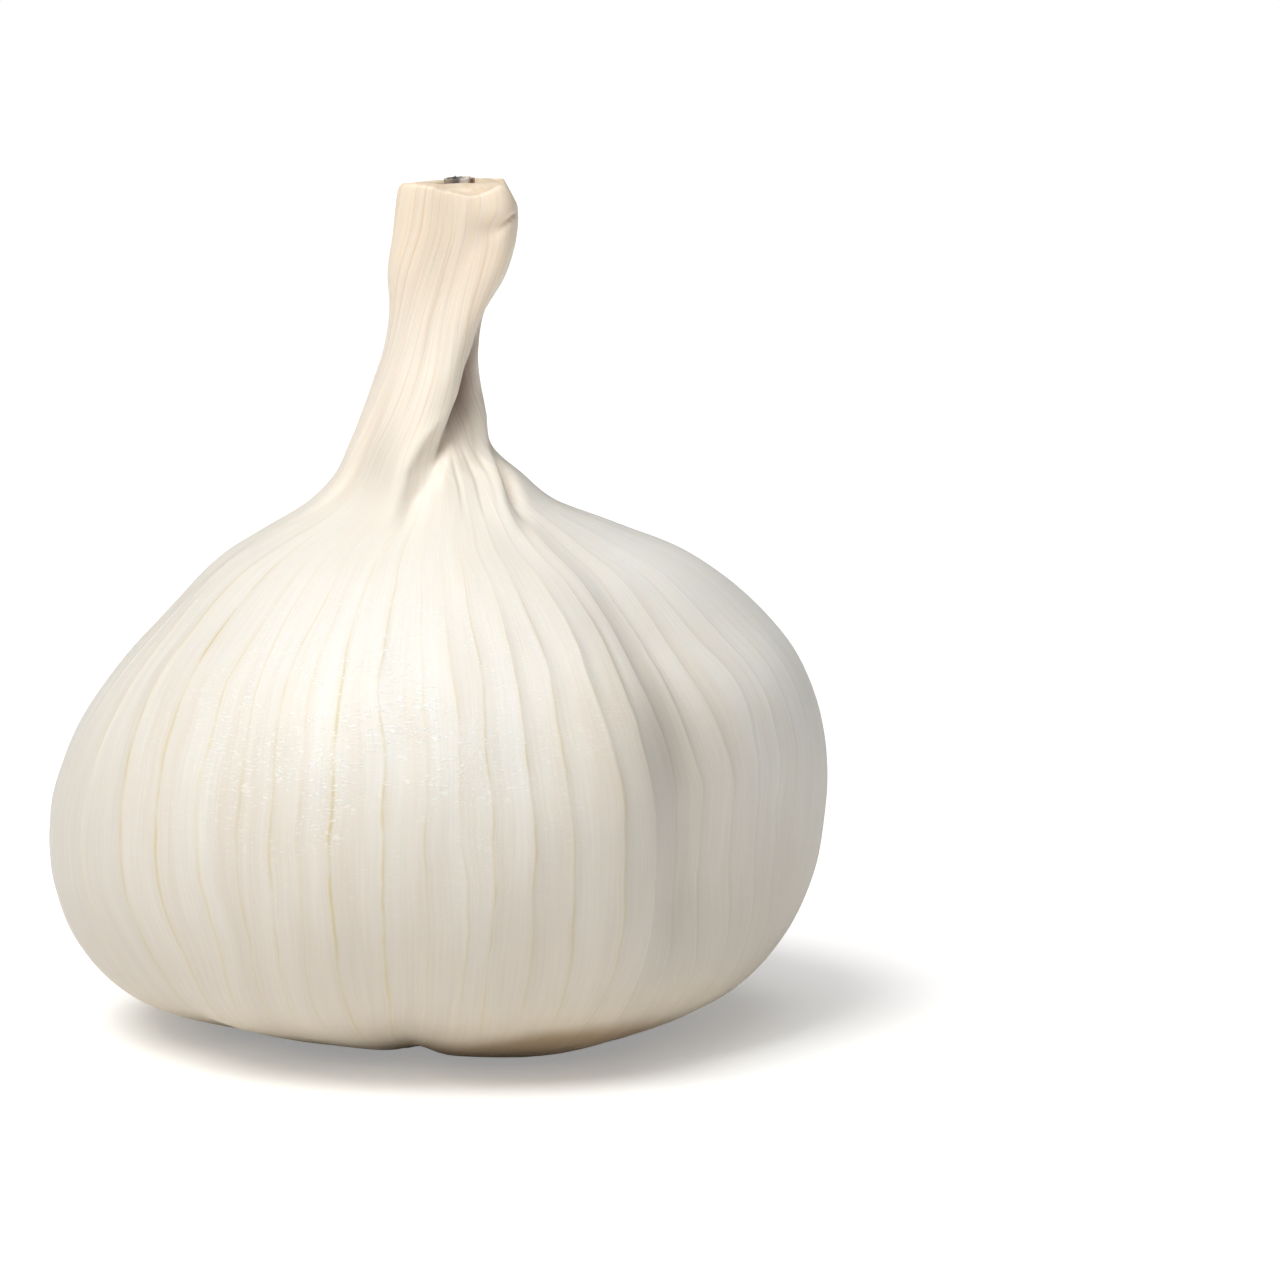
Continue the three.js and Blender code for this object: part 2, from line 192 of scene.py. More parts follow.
# one number for each point, kept on the mesh for its material to read
def keepValue(item, name, values):
    layer = item.data.attributes.new(name, "FLOAT", "POINT")
    layer.data.foreach_set("value", values.astype(np.float32))


# small functions on shader nodes

# a new node, with its own settings
def addNode(tree, kind, **settings):
    node = tree.nodes.new(kind)
    for name, value in settings.items():
        setattr(node, name, value)
    return node


# an input takes a link where it is given a socket, and a fixed value otherwise
def feed(tree, socket, value):
    if isinstance(value, bpy.types.NodeSocket):
        tree.links.new(value, socket)
    elif isinstance(value, tuple) and socket.type == "RGBA" and len(value) == 3:
        socket.default_value = (*value, 1)
    else:
        socket.default_value = value


# one sum, product, sine or the like of numbers
def maths(tree, operation, *values, clamp=False):
    node = addNode(tree, "ShaderNodeMath", operation=operation, use_clamp=clamp)
    for k, value in enumerate(values):
        feed(tree, node.inputs[k], value)
    return node.outputs[0]


# a product of two numbers
def times(tree, first, second):
    return maths(tree, "MULTIPLY", first, second)


# a range of numbers laid on another range, straight or as an S
def spread(tree, value, fromLow, fromHigh, toLow=0.0, toHigh=1.0, smooth=True):
    node = addNode(tree, "ShaderNodeMapRange", interpolation_type="SMOOTHSTEP" if smooth else "LINEAR")
    for k, given in enumerate((value, fromLow, fromHigh, toLow, toHigh)):
        feed(tree, node.inputs[k], given)
    return node.outputs[0]


# a share of the way from one colour to another
def mixColour(tree, share, first, second, mode="MIX"):
    node = addNode(tree, "ShaderNodeMix", data_type="RGBA", blend_type=mode)
    feed(tree, node.inputs["Factor"], share)
    feed(tree, node.inputs[6], first)
    feed(tree, node.inputs[7], second)
    return node.outputs[2]


# soft cloud noise at a vector
def cloud(tree, vector, scale, detail=2.0, roughness=0.5):
    node = addNode(tree, "ShaderNodeTexNoise")
    feed(tree, node.inputs["Vector"], vector)
    feed(tree, node.inputs["Scale"], scale)
    feed(tree, node.inputs["Detail"], detail)
    feed(tree, node.inputs["Roughness"], roughness)
    return node.outputs["Fac"]


# a value kept on the mesh
def kept(tree, name):
    return addNode(tree, "ShaderNodeAttribute", attribute_name=name).outputs["Fac"]


# a bare group tree with its inputs (name, kind, default) and outputs (name, kind)
def newGroup(name, inputs, outputs):
    tree = bpy.data.node_groups.new(name, "ShaderNodeTree")
    for label, kind, default in inputs:
        socket = tree.interface.new_socket(label, in_out="INPUT", socket_type=kind)
        if default is not None:
            socket.default_value = default
    for label, kind in outputs:
        tree.interface.new_socket(label, in_out="OUTPUT", socket_type=kind)
    return tree, tree.nodes.new("NodeGroupInput").outputs, tree.nodes.new("NodeGroupOutput").inputs


# a group placed in a material, with values or sockets for its inputs
def placeGroup(tree, group, **values):
    node = addNode(tree, "ShaderNodeGroup", node_tree=group)
    for name, value in values.items():
        feed(tree, node.inputs[name], value)
    return node.outputs


# Streaks that run along a surface: noise on a cylinder, so that it closes on itself. Around and
# Along are how many cells it has each way. Value is 0 to 1.
def makeStreaks():
    tree, given, result = newGroup("streaks", [
        ("U", "NodeSocketFloat", 0.0), ("V", "NodeSocketFloat", 0.0),
        ("Around", "NodeSocketFloat", 100.0), ("Along", "NodeSocketFloat", 10.0),
        ("Detail", "NodeSocketFloat", 2.0), ("Seed", "NodeSocketFloat", 0.0),
    ], [("Value", "NodeSocketFloat")])
    full = 2 * math.pi
    angle = times(tree, given["U"], full)
    radius = maths(tree, "DIVIDE", given["Around"], full)
    place = addNode(tree, "ShaderNodeCombineXYZ")
    feed(tree, place.inputs[0], times(tree, maths(tree, "COSINE", angle), radius))
    feed(tree, place.inputs[1], times(tree, maths(tree, "SINE", angle), radius))
    feed(tree, place.inputs[2], maths(tree, "MULTIPLY_ADD", given["V"], given["Along"], given["Seed"]))
    feed(tree, result["Value"], cloud(tree, place.outputs[0], 1.0, given["Detail"]))
    return tree


# Small dark specks: the nearest point of a cell pattern, kept only in a few of the cells. Mask is
# 0 or 1 with a soft edge.
def makeSpecks():
    tree, given, result = newGroup("specks", [
        ("Vector", "NodeSocketVector", None), ("Scale", "NodeSocketFloat", 300.0),
        ("Size", "NodeSocketFloat", 0.1), ("Share", "NodeSocketFloat", 0.1),
    ], [("Mask", "NodeSocketFloat")])
    cells = addNode(tree, "ShaderNodeTexVoronoi")
    feed(tree, cells.inputs["Vector"], given["Vector"])
    feed(tree, cells.inputs["Scale"], given["Scale"])
    draw = addNode(tree, "ShaderNodeSeparateColor")
    feed(tree, draw.inputs[0], cells.outputs["Color"])
    chosen = maths(tree, "LESS_THAN", draw.outputs[0], given["Share"])
    size = times(tree, given["Size"], maths(tree, "ADD", draw.outputs[1], 0.3))
    near = spread(tree, cells.outputs["Distance"], times(tree, size, 0.5), size, 1.0, 0.0)
    feed(tree, result["Mask"], times(tree, near, chosen))
    return tree


streaks = makeStreaks()
specks = makeSpecks()


# a material with its node tree, shader and UV parts
def newMaterial(name):
    material = bpy.data.materials.new(name)
    material.use_nodes = True
    tree = material.node_tree
    shader = tree.nodes["Principled BSDF"]
    uv = addNode(tree, "ShaderNodeSeparateXYZ")
    feed(tree, uv.inputs[0], addNode(tree, "ShaderNodeUVMap", uv_map="strips").outputs[0])
    return material, tree, shader, uv.outputs[0], uv.outputs[1]


# a value laid on a mask by one of a look's ramps
def ramp(tree, look, name, value):
    return spread(tree, value, *look["ramps"][name])


# the shader's inputs that are the same all over the surface
def setShader(shader, values):
    for name, value in values.items():
        shader.inputs[name].default_value = value


# heights in millimetres, added up, bend the shader's normal
def raiseSurface(tree, shader, heights):
    total = heights[0]
    for height in heights[1:]:
        total = maths(tree, "ADD", total, height)
    bump = addNode(tree, "ShaderNodeBump")
    bump.inputs["Strength"].default_value = 1.0
    bump.inputs["Distance"].default_value = mm
    feed(tree, bump.inputs["Height"], total)
    feed(tree, shader.inputs["Normal"], bump.outputs[0])


# the papery skin's finish

skinLook = {
    "cream": (0.87, 0.805, 0.71),
    "coolWhite": (0.88, 0.865, 0.815),
    "innerSkin": (0.76, 0.735, 0.675),
    "vein": (0.72, 0.615, 0.36),
    "neckCream": (1.0, 0.905, 0.785),
    "peach": (1.0, 0.825, 0.65),
    "paleStreak": (1.0, 0.935, 0.84),
    "tan": (0.76, 0.55, 0.37),
    # painted shade: purple-brown in the neck's recess under the fold
    "paintedRecessShade": (0.21, 0.13, 0.11),
    "cut": (0.80, 0.63, 0.45),
    # painted shade: the skin darker towards the bottom
    "paintedLowShade": (0.74, 0.67, 0.575),
    "shade": (0.64, 0.59, 0.51),
    # stain at the foot, with painted shade at the bottom right
    "beige": (0.88, 0.78, 0.62),
    "brown": (0.50, 0.35, 0.20),
    "speck": (0.30, 0.22, 0.16),
    # painted highlight: white glints on the crinkles
    "paintedGlint": (1.0, 1.0, 0.96),
    # how much of its colour a coat shows where its mask is full
    "cover": {
        "inner": 0.8, "neck": 1.0, "high": 1.0, "shade": 1.0, "tanStreaks": 0.42,
        "paleStreaks": 0.55, "creaseShade": 0.3, "recess": 0.92, "cut": 1.0, "low": 0.9, "halo": 0.18,
        "line": 0.85, "stainAndShade": 0.8, "deepStainAndShade": 0.85, "paintedGlints": 0.9, "specks": 0.7,
    },
    # streaks: cells round the bulb, cells from foot to cut, detail, seed
    "runs": {
        "fibres": (900.0, 16.0, 3.0, 0.0),
        "bands": (90.0, 5.0, 2.0, 7.0),
        "broken": (60.0, 26.0, 2.0, 3.0),
        "neckFine": (280.0, 8.0, 3.0, 11.0),
        "neckBroad": (110.0, 5.0, 2.0, 13.0),
        "crinkles": (400.0, 680.0, 1.0, 5.0),
    },
    # clouds: size as cells in a metre, detail
    "clouds": {"blotches": (60.0, 3.0), "patches": (260.0, 2.0), "layers": (900.0, 2.0)},
    "specks": {"Scale": 230.0, "Size": 0.06, "Share": 0.035},
    # masks: the range that is read, and the one that it is laid on where that isn't 0 to 1
    "ramps": {
        "broken": (0.32, 0.6, 0.25, 1.0),      # vein lines, stronger and weaker
        "tanStreaks": (0.5, 0.66),
        "paleStreaks": (0.36, 0.48, 1.0, 0.0),
        "layers": (0.35, 0.65, 0.35, 0.75),
        "crinkles": (0.575, 0.65),
        "patches": (0.36, 0.52),
        "cool": (0.6, 1.15),
        "high": (0.3, 0.7, 0.6, 0.95),
        "stainAndShade": (0.1, 0.75),
        "deepStainAndShade": (0.7, 1.1),
    },
    "blotchCool": 0.7,         # share of the blotches in the cool white
    "bandCalm": 0.75,          # share that the bands lose in the upper part
    "stainUneven": 0.5,        # how much the blotches fray the foot's stain and painted shade
    "veinWidth": 0.065,        # half, as a share of a strip
    "haloWidth": 0.22,
    "brightness": 0.865,       # where fibres and bands are darkest
    "fibreLight": 0.15,        # what the lightest fibres add
    "bandLight": 0.12,
    "roughness": 0.41,         # between the fibres
    "fibreRoughness": 0.18,    # what the fibres add
    "crinkleGloss": 0.22,      # what the crinkles take away
    "shader": {
        "Subsurface Weight": 0.18, "Subsurface Radius": (1.0, 0.7, 0.45), "Subsurface Scale": 0.0015,
        "Sheen Weight": 0.12, "Sheen Roughness": 0.4, "Specular IOR Level": 0.4,
    },
    "fibreHeight": 0.012,      # mm
    "crinkleHeight": 0.03,
    "veinHeight": 0.02,
    "neckStreakHeight": 0.02,
}


# Masks of the vein lines and of the soft halo beside them: full where U times the vein count is
# whole, scaled by the strength.
def veinMasks(tree, u, veins, strength):
    strip = maths(tree, "ADD", times(tree, u, float(veins)), 0.5)
    near = maths(tree, "ABSOLUTE", maths(tree, "SUBTRACT", maths(tree, "FRACT", strip), 0.5))
    line = spread(tree, near, 0.0, skinLook["veinWidth"], 1.0, 0.0)
    halo = spread(tree, near, 0.0, skinLook["haloWidth"], 1.0, 0.0)
    return times(tree, line, strength), times(tree, halo, strength)


# Cream with cool bands and fine fibres, then coats of paint, each by its mask: grey inner skin,
# peach, tan and pale streaks up the neck, painted shade in spots, creases and the recess (purple-brown
# there) and towards the bottom, yellow veins, beige to brown stain and painted shade under the foot,
# painted highlights as white glints on the crinkles. Fibres and bands darken the whole, and a few
# specks lie on top.
def makeSkinMaterial(veins):
    look = skinLook
    material, tree, shader, u, v = newMaterial("paperySkin")
    where = addNode(tree, "ShaderNodeTexCoord").outputs["Object"]

    # streaks along the skin, from the table of runs
    def run(name):
        cells = dict(zip(("Around", "Along", "Detail", "Seed"), look["runs"][name]))
        return placeGroup(tree, streaks, U=u, V=v, **cells)["Value"]

    # noise through the whole bulb, from the table of clouds
    def patch(name):
        return cloud(tree, where, *look["clouds"][name])

    neck, high, cut = kept(tree, "neck"), kept(tree, "high"), kept(tree, "cut")
    fibres, blotches = run("fibres"), patch("blotches")
    calm = maths(tree, "SUBTRACT", 1.0, times(tree, kept(tree, "upper"), look["bandCalm"]))
    bands = maths(tree, "MULTIPLY_ADD", maths(tree, "SUBTRACT", run("bands"), 0.5), calm, 0.5)
    broken = ramp(tree, look, "broken", run("broken"))
    line, halo = veinMasks(tree, u, veins, times(tree, kept(tree, "vein"), broken))
    neckStreaks = maths(tree, "MULTIPLY_ADD", run("neckFine"), 0.5, times(tree, run("neckBroad"), 0.5))
    tanStreaks = times(tree, ramp(tree, look, "tanStreaks", neckStreaks), neck)
    paleStreaks = times(tree, ramp(tree, look, "paleStreaks", neckStreaks), neck)
    uneven = times(tree, maths(tree, "SUBTRACT", blotches, 0.5), look["stainUneven"])
    stainAndShade = maths(tree, "ADD", kept(tree, "foot"), uneven)
    # crinkles: small relief, less roughness, and painted white highlights as glints
    crinkles = times(tree, ramp(tree, look, "crinkles", run("crinkles")), kept(tree, "crinkle"))
    crinkles = times(tree, crinkles, ramp(tree, look, "patches", patch("patches")))

    cool = maths(tree, "ADD", bands, times(tree, blotches, look["blotchCool"]))
    cool = maths(tree, "ADD", ramp(tree, look, "cool", cool), kept(tree, "cool"), clamp=True)
    colour = mixColour(tree, cool, look["cream"], look["coolWhite"])
    # from the lowest coat to the top one: mask, colour
    coats = {
        "inner": (kept(tree, "inner"), "innerSkin"),
        "neck": (neck, "neckCream"),
        "high": (times(tree, high, ramp(tree, look, "high", bands)), "peach"),
        "shade": (kept(tree, "shade"), "shade"),
        "tanStreaks": (tanStreaks, "tan"),
        "paleStreaks": (paleStreaks, "paleStreak"),
        # painted shade in the creases
        "creaseShade": (kept(tree, "creaseShade"), "tan"),
        # painted shade in the neck's recess
        "recess": (kept(tree, "recess"), "paintedRecessShade"),
        "cut": (times(tree, cut, ramp(tree, look, "layers", patch("layers"))), "cut"),
        # painted shade, darker towards the bottom
        "low": (kept(tree, "low"), "paintedLowShade"),
        "halo": (halo, "vein"),
        "line": (line, "vein"),
        # stain at the foot, with painted shade at the bottom right
        "stainAndShade": (ramp(tree, look, "stainAndShade", stainAndShade), "beige"),
        "deepStainAndShade": (ramp(tree, look, "deepStainAndShade", stainAndShade), "brown"),
        # painted highlights: white glints on the crinkles
        "paintedGlints": (crinkles, "paintedGlint"),
    }
    for name, (mask, paint) in coats.items():
        colour = mixColour(tree, times(tree, mask, look["cover"][name]), colour, look[paint])

    grain = maths(tree, "MULTIPLY_ADD", fibres, look["fibreLight"], look["brightness"])
    grain = maths(tree, "ADD", grain, times(tree, bands, look["bandLight"]))
    grey = addNode(tree, "ShaderNodeCombineColor")
    for k in range(3):
        feed(tree, grey.inputs[k], grain)
    colour = mixColour(tree, 1.0, colour, grey.outputs[0], "MULTIPLY")
    spots = placeGroup(tree, specks, Vector=where, **look["specks"])["Mask"]
    spots = times(tree, spots, maths(tree, "SUBTRACT", 1.0, neck))
    colour = mixColour(tree, times(tree, spots, look["cover"]["specks"]), colour, look["speck"])
    feed(tree, shader.inputs["Base Color"], colour)

    dull = maths(tree, "MULTIPLY_ADD", fibres, look["fibreRoughness"], look["roughness"])
    dull = maths(tree, "SUBTRACT", dull, times(tree, crinkles, look["crinkleGloss"]))
    feed(tree, shader.inputs["Roughness"], dull)
    raiseSurface(tree, shader, [
        times(tree, fibres, look["fibreHeight"]),
        times(tree, crinkles, look["crinkleHeight"]),
        times(tree, line, look["veinHeight"]),
        times(tree, times(tree, neckStreaks, neck), look["neckStreakHeight"]),
    ])
    setShader(shader, look["shader"])
    return material


# the bulb

bulb = {
    # places of the points in a strip, as shares of it: close beside its left vein
    "fineShares": (0, 0.03, 0.08, 0.15, 0.24, 0.34, 0.46, 0.59, 0.72, 0.84, 0.95),
    "wideShares": (0, 0.1, 0.35, 0.7),
    "fineVeins": (28, 62),     # strips with the fine ones: the front and what turns to it up the neck
    "ringsPocket": 8,          # rings of points in the root pocket, on the body, the neck and the cut
    "ringsBody": 84,
    "ringsNeck": 84,
    "ringsCut": 30,
    "poleGap": 0.15,           # sections, from a pole to the ring beside it
    "veins": 60,
    "fallShare": 0.35,         # of a strip, where the fall from its left vein ends
    "riseShare": 0.15,         # of a strip, where the rise to its right vein starts
    "bodyRib": 0.09,           # mm, highest crest by chance
    "kink": 0.3,               # degrees that a vein wavers by its own
    "lumps": 0.12,             # mm, soft unevenness of the skin
    "neckPleats": 0.032,       # mm, soft folds along the neck
    "lipReach": 5.0,           # degrees that the fold's edge leans over its recess
    "lipPlace": (-4, 5),       # degrees past the edge where it leans most, half width
    "lowTwist": 0.3,           # share of the twist that the skin under the fold takes part in
    "skinEdge": 0.05,          # mm, step where the outer skin ends on the left
    "skinEdgeAngle": -138,
    "smoothSide": (-5, 35),    # angle and half width where crests by chance are lower
    "faintSide": (0, 35),      # the same, where veins show less
    "coolSide": (-2, 28),      # the same, where the skin is a cooler white
    "recessShadeLevel": (50, 3.5),  # mm, height and half height of the painted shade in the recess
    "creaseShadeDepth": 0.9,        # mm of fold depth at which a crease has its full painted shade
    "veinShadow": (44.1, 0.1, 22, 2, 0.9),   # painted shadow beside a vein: vein, half width, height, half height, amount
    "ragged": 0.07,            # mm, at the rim of the cut
    "cutLayers": 0.07,         # mm, skins' edges between the rim and the stalk
    "cutSags": [(-50, 32, 0.4), (-145, 38, -0.6)],   # angle, half width, mm that the rim dips
    "cornerSlope": 30,         # degrees, plane that presses the cut's right corner flat
    "cornerReach": 36.85,      # mm, of that plane from the origin
    "cornerFoot": 56,          # mm, height above which it presses
}

# Noise on the skin, layer by layer: weight, cells round the bulb, mm to a cell up it, seed.
noises = {
    "kinks": [(1, 60, 3.2, 8), (0.4, 60, 1.1, 9)],
    "lumps": [(1, 30, 6, 21), (0.5, 60, 3, 22)],
    "pleats": [(1, 48, 9, 23), (0.6, 96, 5, 24), (0.35, 192, 4, 25)],
}

# Where something starts or ends. The first are places counted in sections, then come heights in
# mm, and last degrees past an edge.
spans = {
    "pocketEnd": (3.4, 5),
    "bodyStart": (5, 8),
    "strayStart": (6, 9),      # veins leave their even places

    "ribGrow": (4, 12),        # crests rise to their full height
    "belly": (4, 15),          # valleys pass from their depth at the foot to that at the belly
    "innerSink": (16, 28),     # the bare inner skin shows less above this
    "shoulder": (18, 31),      # valleys pass to their depth at the shoulder
    "ribSink": (31, 37.5),     # crests sink again
    "valleyEnd": (32, 40),
    "veinFade": (32, 38),
    "strayEnd": (35, 43),
    "innerEnd": (37, 42),
    "bodyEnd": (38, 43),
    "neckStart": (39, 44),
    "underStart": (42.5, 44),  # skin under the fold
    "lipEnd": (50, 52.5),
    "pleatSink": (53, 59),
    "underEnd": (54, 60),
    "tiltStart": (58, 64),
    "sagStart": (62, 64.6),
    "footColour": (-1, 9),
    # painted shade, darker towards the bottom
    "lowShadeHeights": (4, 30),
    "upperStart": (27, 36),    # bands are calmer from here up
    "neckColour": (38, 49),
    "upperEnd": (50, 60),
    "highColour": (50, 62),

    "underNear": (-1, 1),      # past the fold's edge
    "underFar": (70, 140),
    # painted shade of the recess, in degrees past the fold's edge
    "recessShadeNear": (-2, 3),
    "recessShadeFar": (14, 44),
    "innerNear": (-1, 1.5),    # past the outer skin's edge
    "innerFar": (60, 75),
}

growthAxis = -0.6
cutCentre = (1.1, 0.3)
cutTilt = (0.05, 0.14)      # rise of the cut for each mm to the right and to the back
stalkCentre = (1.7, 1.0)
neckTwist, cutTwist = 31, 48
# height, reach to the right, back, left and front, centre x and y, twist: as in the solid
sections = [
    (3.0, 0.0, 0.0, 0.0, 0.0, growthAxis, 0, 0),
    (3.0, 6.4, 6.4, 6.4, 6.4, growthAxis, 0, 0),
    (2.6, 7.4, 7.4, 7.4, 7.4, growthAxis, 0, 0),
    (0.8, 7.8, 7.8, 7.8, 7.8, growthAxis, 0, 0),
    (-0.2, 8.8, 8.8, 8.8, 8.8, growthAxis, 0, 0),
    (-0.2, 10.6, 10.6, 10.6, 10.6, growthAxis, 0, 0),
    (1.0, 17.0, 16.0, 17.4, 15.6, growthAxis, 0, 0),
    (3.3, 23.4, 21.2, 23.7, 21.0, growthAxis, 0, 0),
    (7.0, 27.4, 25.6, 27.4, 25.8, growthAxis, 0, 0),
    (12.0, 30.1, 28.2, 29.2, 28.4, growthAxis, 0, 0),
    (17.3, 30.9, 29.0, 29.2, 29.2, growthAxis, 0, 0),
    (22.7, 30.8, 28.2, 27.6, 28.4, growthAxis, 0, 0),
    (28.0, 28.9, 25.6, 24.2, 25.8, growthAxis, 0, 0),
    (32.5, 25.2, 21.8, 20.3, 21.8, growthAxis, 0, 0),
    (36.2, 20.3, 17.0, 16.4, 17.0, growthAxis, 0, 0),
    (38.5, 14.6, 12.6, 12.8, 12.8, growthAxis, 0, 0),
    (40.4, 9.8, 9.4, 9.6, 9.6, growthAxis, 0, 3),
    (42.5, 7.5, 7.2, 7.1, 7.6, -0.9, 0.0, 7),
    (44.7, 5.6, 6.0, 5.5, 6.2, -1.4, 0.1, 14),
    (47.3, 4.8, 5.0, 4.6, 5.2, -1.2, 0.2, 22),
    (49.8, 4.2, 4.2, 4.0, 4.5, -0.9, 0.3, 28),
    (52.2, 3.7, 3.6, 3.6, 3.8, -0.5, 0.3, 30),
    (55.0, 3.75, 3.2, 3.65, 3.3, 0.0, 0.3, neckTwist),
    (58.0, 4.75, 2.9, 4.35, 3.0, 0.6, 0.3, 36),
    (61.0, 5.0, 2.8, 4.45, 2.9, *cutCentre, 42),
    (62.9, 5.0, 2.7, 4.25, 2.8, *cutCentre, 46),
    (64.2, 4.75, 2.6, 4.0, 2.7, *cutCentre, cutTwist),
    (64.5, 4.45, 2.4, 3.7, 2.5, *cutCentre, cutTwist),
    (64.55, 3.8, 2.05, 3.5, 2.1, 1.2, 0.4, cutTwist),
    (64.6, 2.8, 1.55, 2.6, 1.6, 1.4, 0.6, cutTwist),
    (64.65, 1.8, 1.1, 1.8, 1.1, *stalkCentre, cutTwist),
    (63.8, 1.55, 0.9, 1.55, 0.9, *stalkCentre, cutTwist),
    (62.4, 1.5, 0.85, 1.5, 0.85, *stalkCentre, cutTwist),
    (62.2, 1.2, 0.65, 1.2, 0.65, *stalkCentre, cutTwist),
    (62.2, 0.0, 0.0, 0.0, 0.0, *stalkCentre, cutTwist),
]
footPlace, shoulderPlace, rimPlace = 5, 16, 27

# valleys between cloves: angle, half widths left and right, depth at foot, belly and shoulder
valleys = [
    (-42, 10, 32, 0.4, 3.7, 1.9),
    (-93, 7, 7, 0.6, 0.2, 0.15),
    (-142, 10, 10, 0.5, 0.45, 0.35),
    (160, 10, 10, 1.2, 1.1, 1.2),
    (122, 11, 11, 1.2, 1.5, 1.7),
    (82, 10, 10, 1.4, 1.2, 1.4),
    (38, 11, 11, 1.3, 1.4, 1.6),
]

# folds up the neck: height, angle, depth (below zero stands proud), half widths left and right
folds = {
    "recess": [
        (44.2, -74, 0, 4, 18), (45.5, -68, 0.7, 3.5, 24), (47.4, -59, 1.5, 3.5, 26),
        (49, -50, 2.0, 3.5, 28), (50.8, -42, 2.0, 4, 25), (52.5, -26, 1.15, 5, 18),
        (53.8, -13, 0.45, 7, 14), (55.5, 0, 0.1, 10, 12), (57, 10, 0, 10, 12),
    ],
    "edge": [
        (45, -80, 0, 12, 6), (47, -70, -0.2, 14, 7), (49, -60, -0.3, 16, 8),
        (50.8, -54, -0.3, 16, 9), (52.5, -38, -0.2, 16, 10), (54.5, -15, 0, 16, 10),
    ],
    "dent": [
        (38.5, -101, 0, 4, 4), (40.2, -99, 0.35, 4, 5), (41.8, -95, 0.6, 6, 6),
        (43.1, -84, 0.85, 12, 5), (44.3, -76, 0.8, 12, 5), (45.5, -68, 0.45, 12, 5),
        (47, -61, 0, 10, 5),
    ],
    "dentEdge": [
        (39.5, -104, 0, 8, 3), (41.8, -101, -0.15, 8, 3), (43.3, -98, -0.25, 8, 3),
        (46, -81, -0.25, 8, 3), (47.5, -70, 0, 8, 3),
    ],
    "rightCrease": [
        (39, -50, 0, 3, 4), (40, -45, 0.15, 3, 5), (41, -41, 0.4, 2.5, 6), (42.2, -36, 1.2, 2.5, 8),
        (43.1, -31, 1.5, 3, 10), (44.3, -18, 0.7, 5, 12), (45.5, -10, 0, 6, 12),
    ],
    "strut": [
        (38.8, -58, 0, 6, 4), (40, -53, -0.3, 7, 4), (41.2, -49, -0.5, 8, 4),
        (43, -41, -0.6, 10, 5), (44.3, -30, -0.4, 12, 8), (47, -10, -0.2, 12, 10),
        (50, 10, 0, 12, 10),
    ],
    "pleatLeft": [
        (39.8, -73, 0, 1.2, 1.2), (41.5, -70, 0.06, 1.2, 1.5), (43.5, -66, 0.1, 1.5, 1.8),
        (45.5, -61, 0, 2, 2),
    ],
    "pleatMiddle": [
        (40.2, -63, 0, 1.2, 1.5), (41.5, -60, 0.06, 1.2, 1.8), (44, -53, 0.1, 1.8, 2.5),
        (46, -50, 0, 2, 3),
    ],
    "pleatRight": [
        (40, -56, 0, 1.2, 1.5), (41.2, -52.5, 0.06, 1.5, 2), (43.5, -45, 0.1, 2, 3),
        (46.5, -34, 0, 3, 4),
    ],
    "strap": [
        (45, -88, 0, 14, 14), (48, -76, -0.35, 16, 14), (51, -66, -0.75, 18, 15),
        (53, -56, -1.05, 22, 14), (55, -46, -1.2, 26, 15), (58, -36, -1.0, 20, 16),
        (60, -32, -0.85, 14, 18), (63, -32, -0.75, 13, 18), (65, -32, -0.45, 13, 18),
    ],
    "left": [
        (39.5, -150, 0, 6, 8), (42, -146, 0.4, 5, 9), (45, -138, 0.35, 5, 10),
        (49, -130, 0.2, 6, 10), (54, -128, 0, 6, 10),
    ],
    "back": [
        (40, 70, 0, 10, 12), (44, 78, 0.7, 9, 14), (49, 95, 0.9, 8, 16), (55, 112, 0.5, 8, 14),
        (62, 120, 0.2, 8, 10), (64.8, 120, 0.2, 8, 10),
    ],
    "corner": [
        (59.6, -54, 0, 14, 3), (60.6, -43, 0.12, 14, 3), (61.3, -36, 0.3, 14, 3),
        (61.9, -30, 0.35, 14, 3), (62.3, -20, 0.3, 12, 4), (62.6, -8, 0, 12, 5),
    ],
    "top": [
        (56, -106, 0, 6, 9), (59, -101, 0.03, 6, 9), (62, -97, 0.04, 6, 9), (64.8, -95, 0.04, 6, 9),
    ],
}

# Soft spots: which of the skin's angles, its middle and half width, height and half height, amount.
# The angles are the grown one, the strayed one with the veins' wandering, and the turned one with
# the neck's twist.
hollows = [
    ("turned", -48, 26, 1.8, 3.2, -0.75),    # mm deep, below zero is a lump
    ("turned", -118, 30, 1.2, 3.0, 0.45),
    ("turned", -176, 26, 31.5, 4.2, 0.35),
    ("turned", -42, 20, 61.5, 1.1, 0.35),
]
shadeSpots = [
    ("turned", -116, 18, 43.8, 3.5, 0.65),
    ("turned", -138, 25, 51, 5, 0.25),
    ("strayed", -50, 8, 26, 7, 0.75),
    ("turned", -44, 9, 60.8, 1.2, 0.3),
    ("grown", -125, 18, 24, 10, 0.2),
]
# painted shade at the bottom right, added to the foot's stain
footShadeSpots = [("grown", -58, 22, 2, 4, 0.55)]
# where the crinkles lie, with painted white highlights on them
crinkleSpots = [("grown", -96, 28, 27, 8, 1.0)]
# folds whose depth gives painted shade in the creases
shadedCreaseFolds = ("rightCrease", "pleatLeft", "pleatMiddle", "pleatRight", "left", "top")

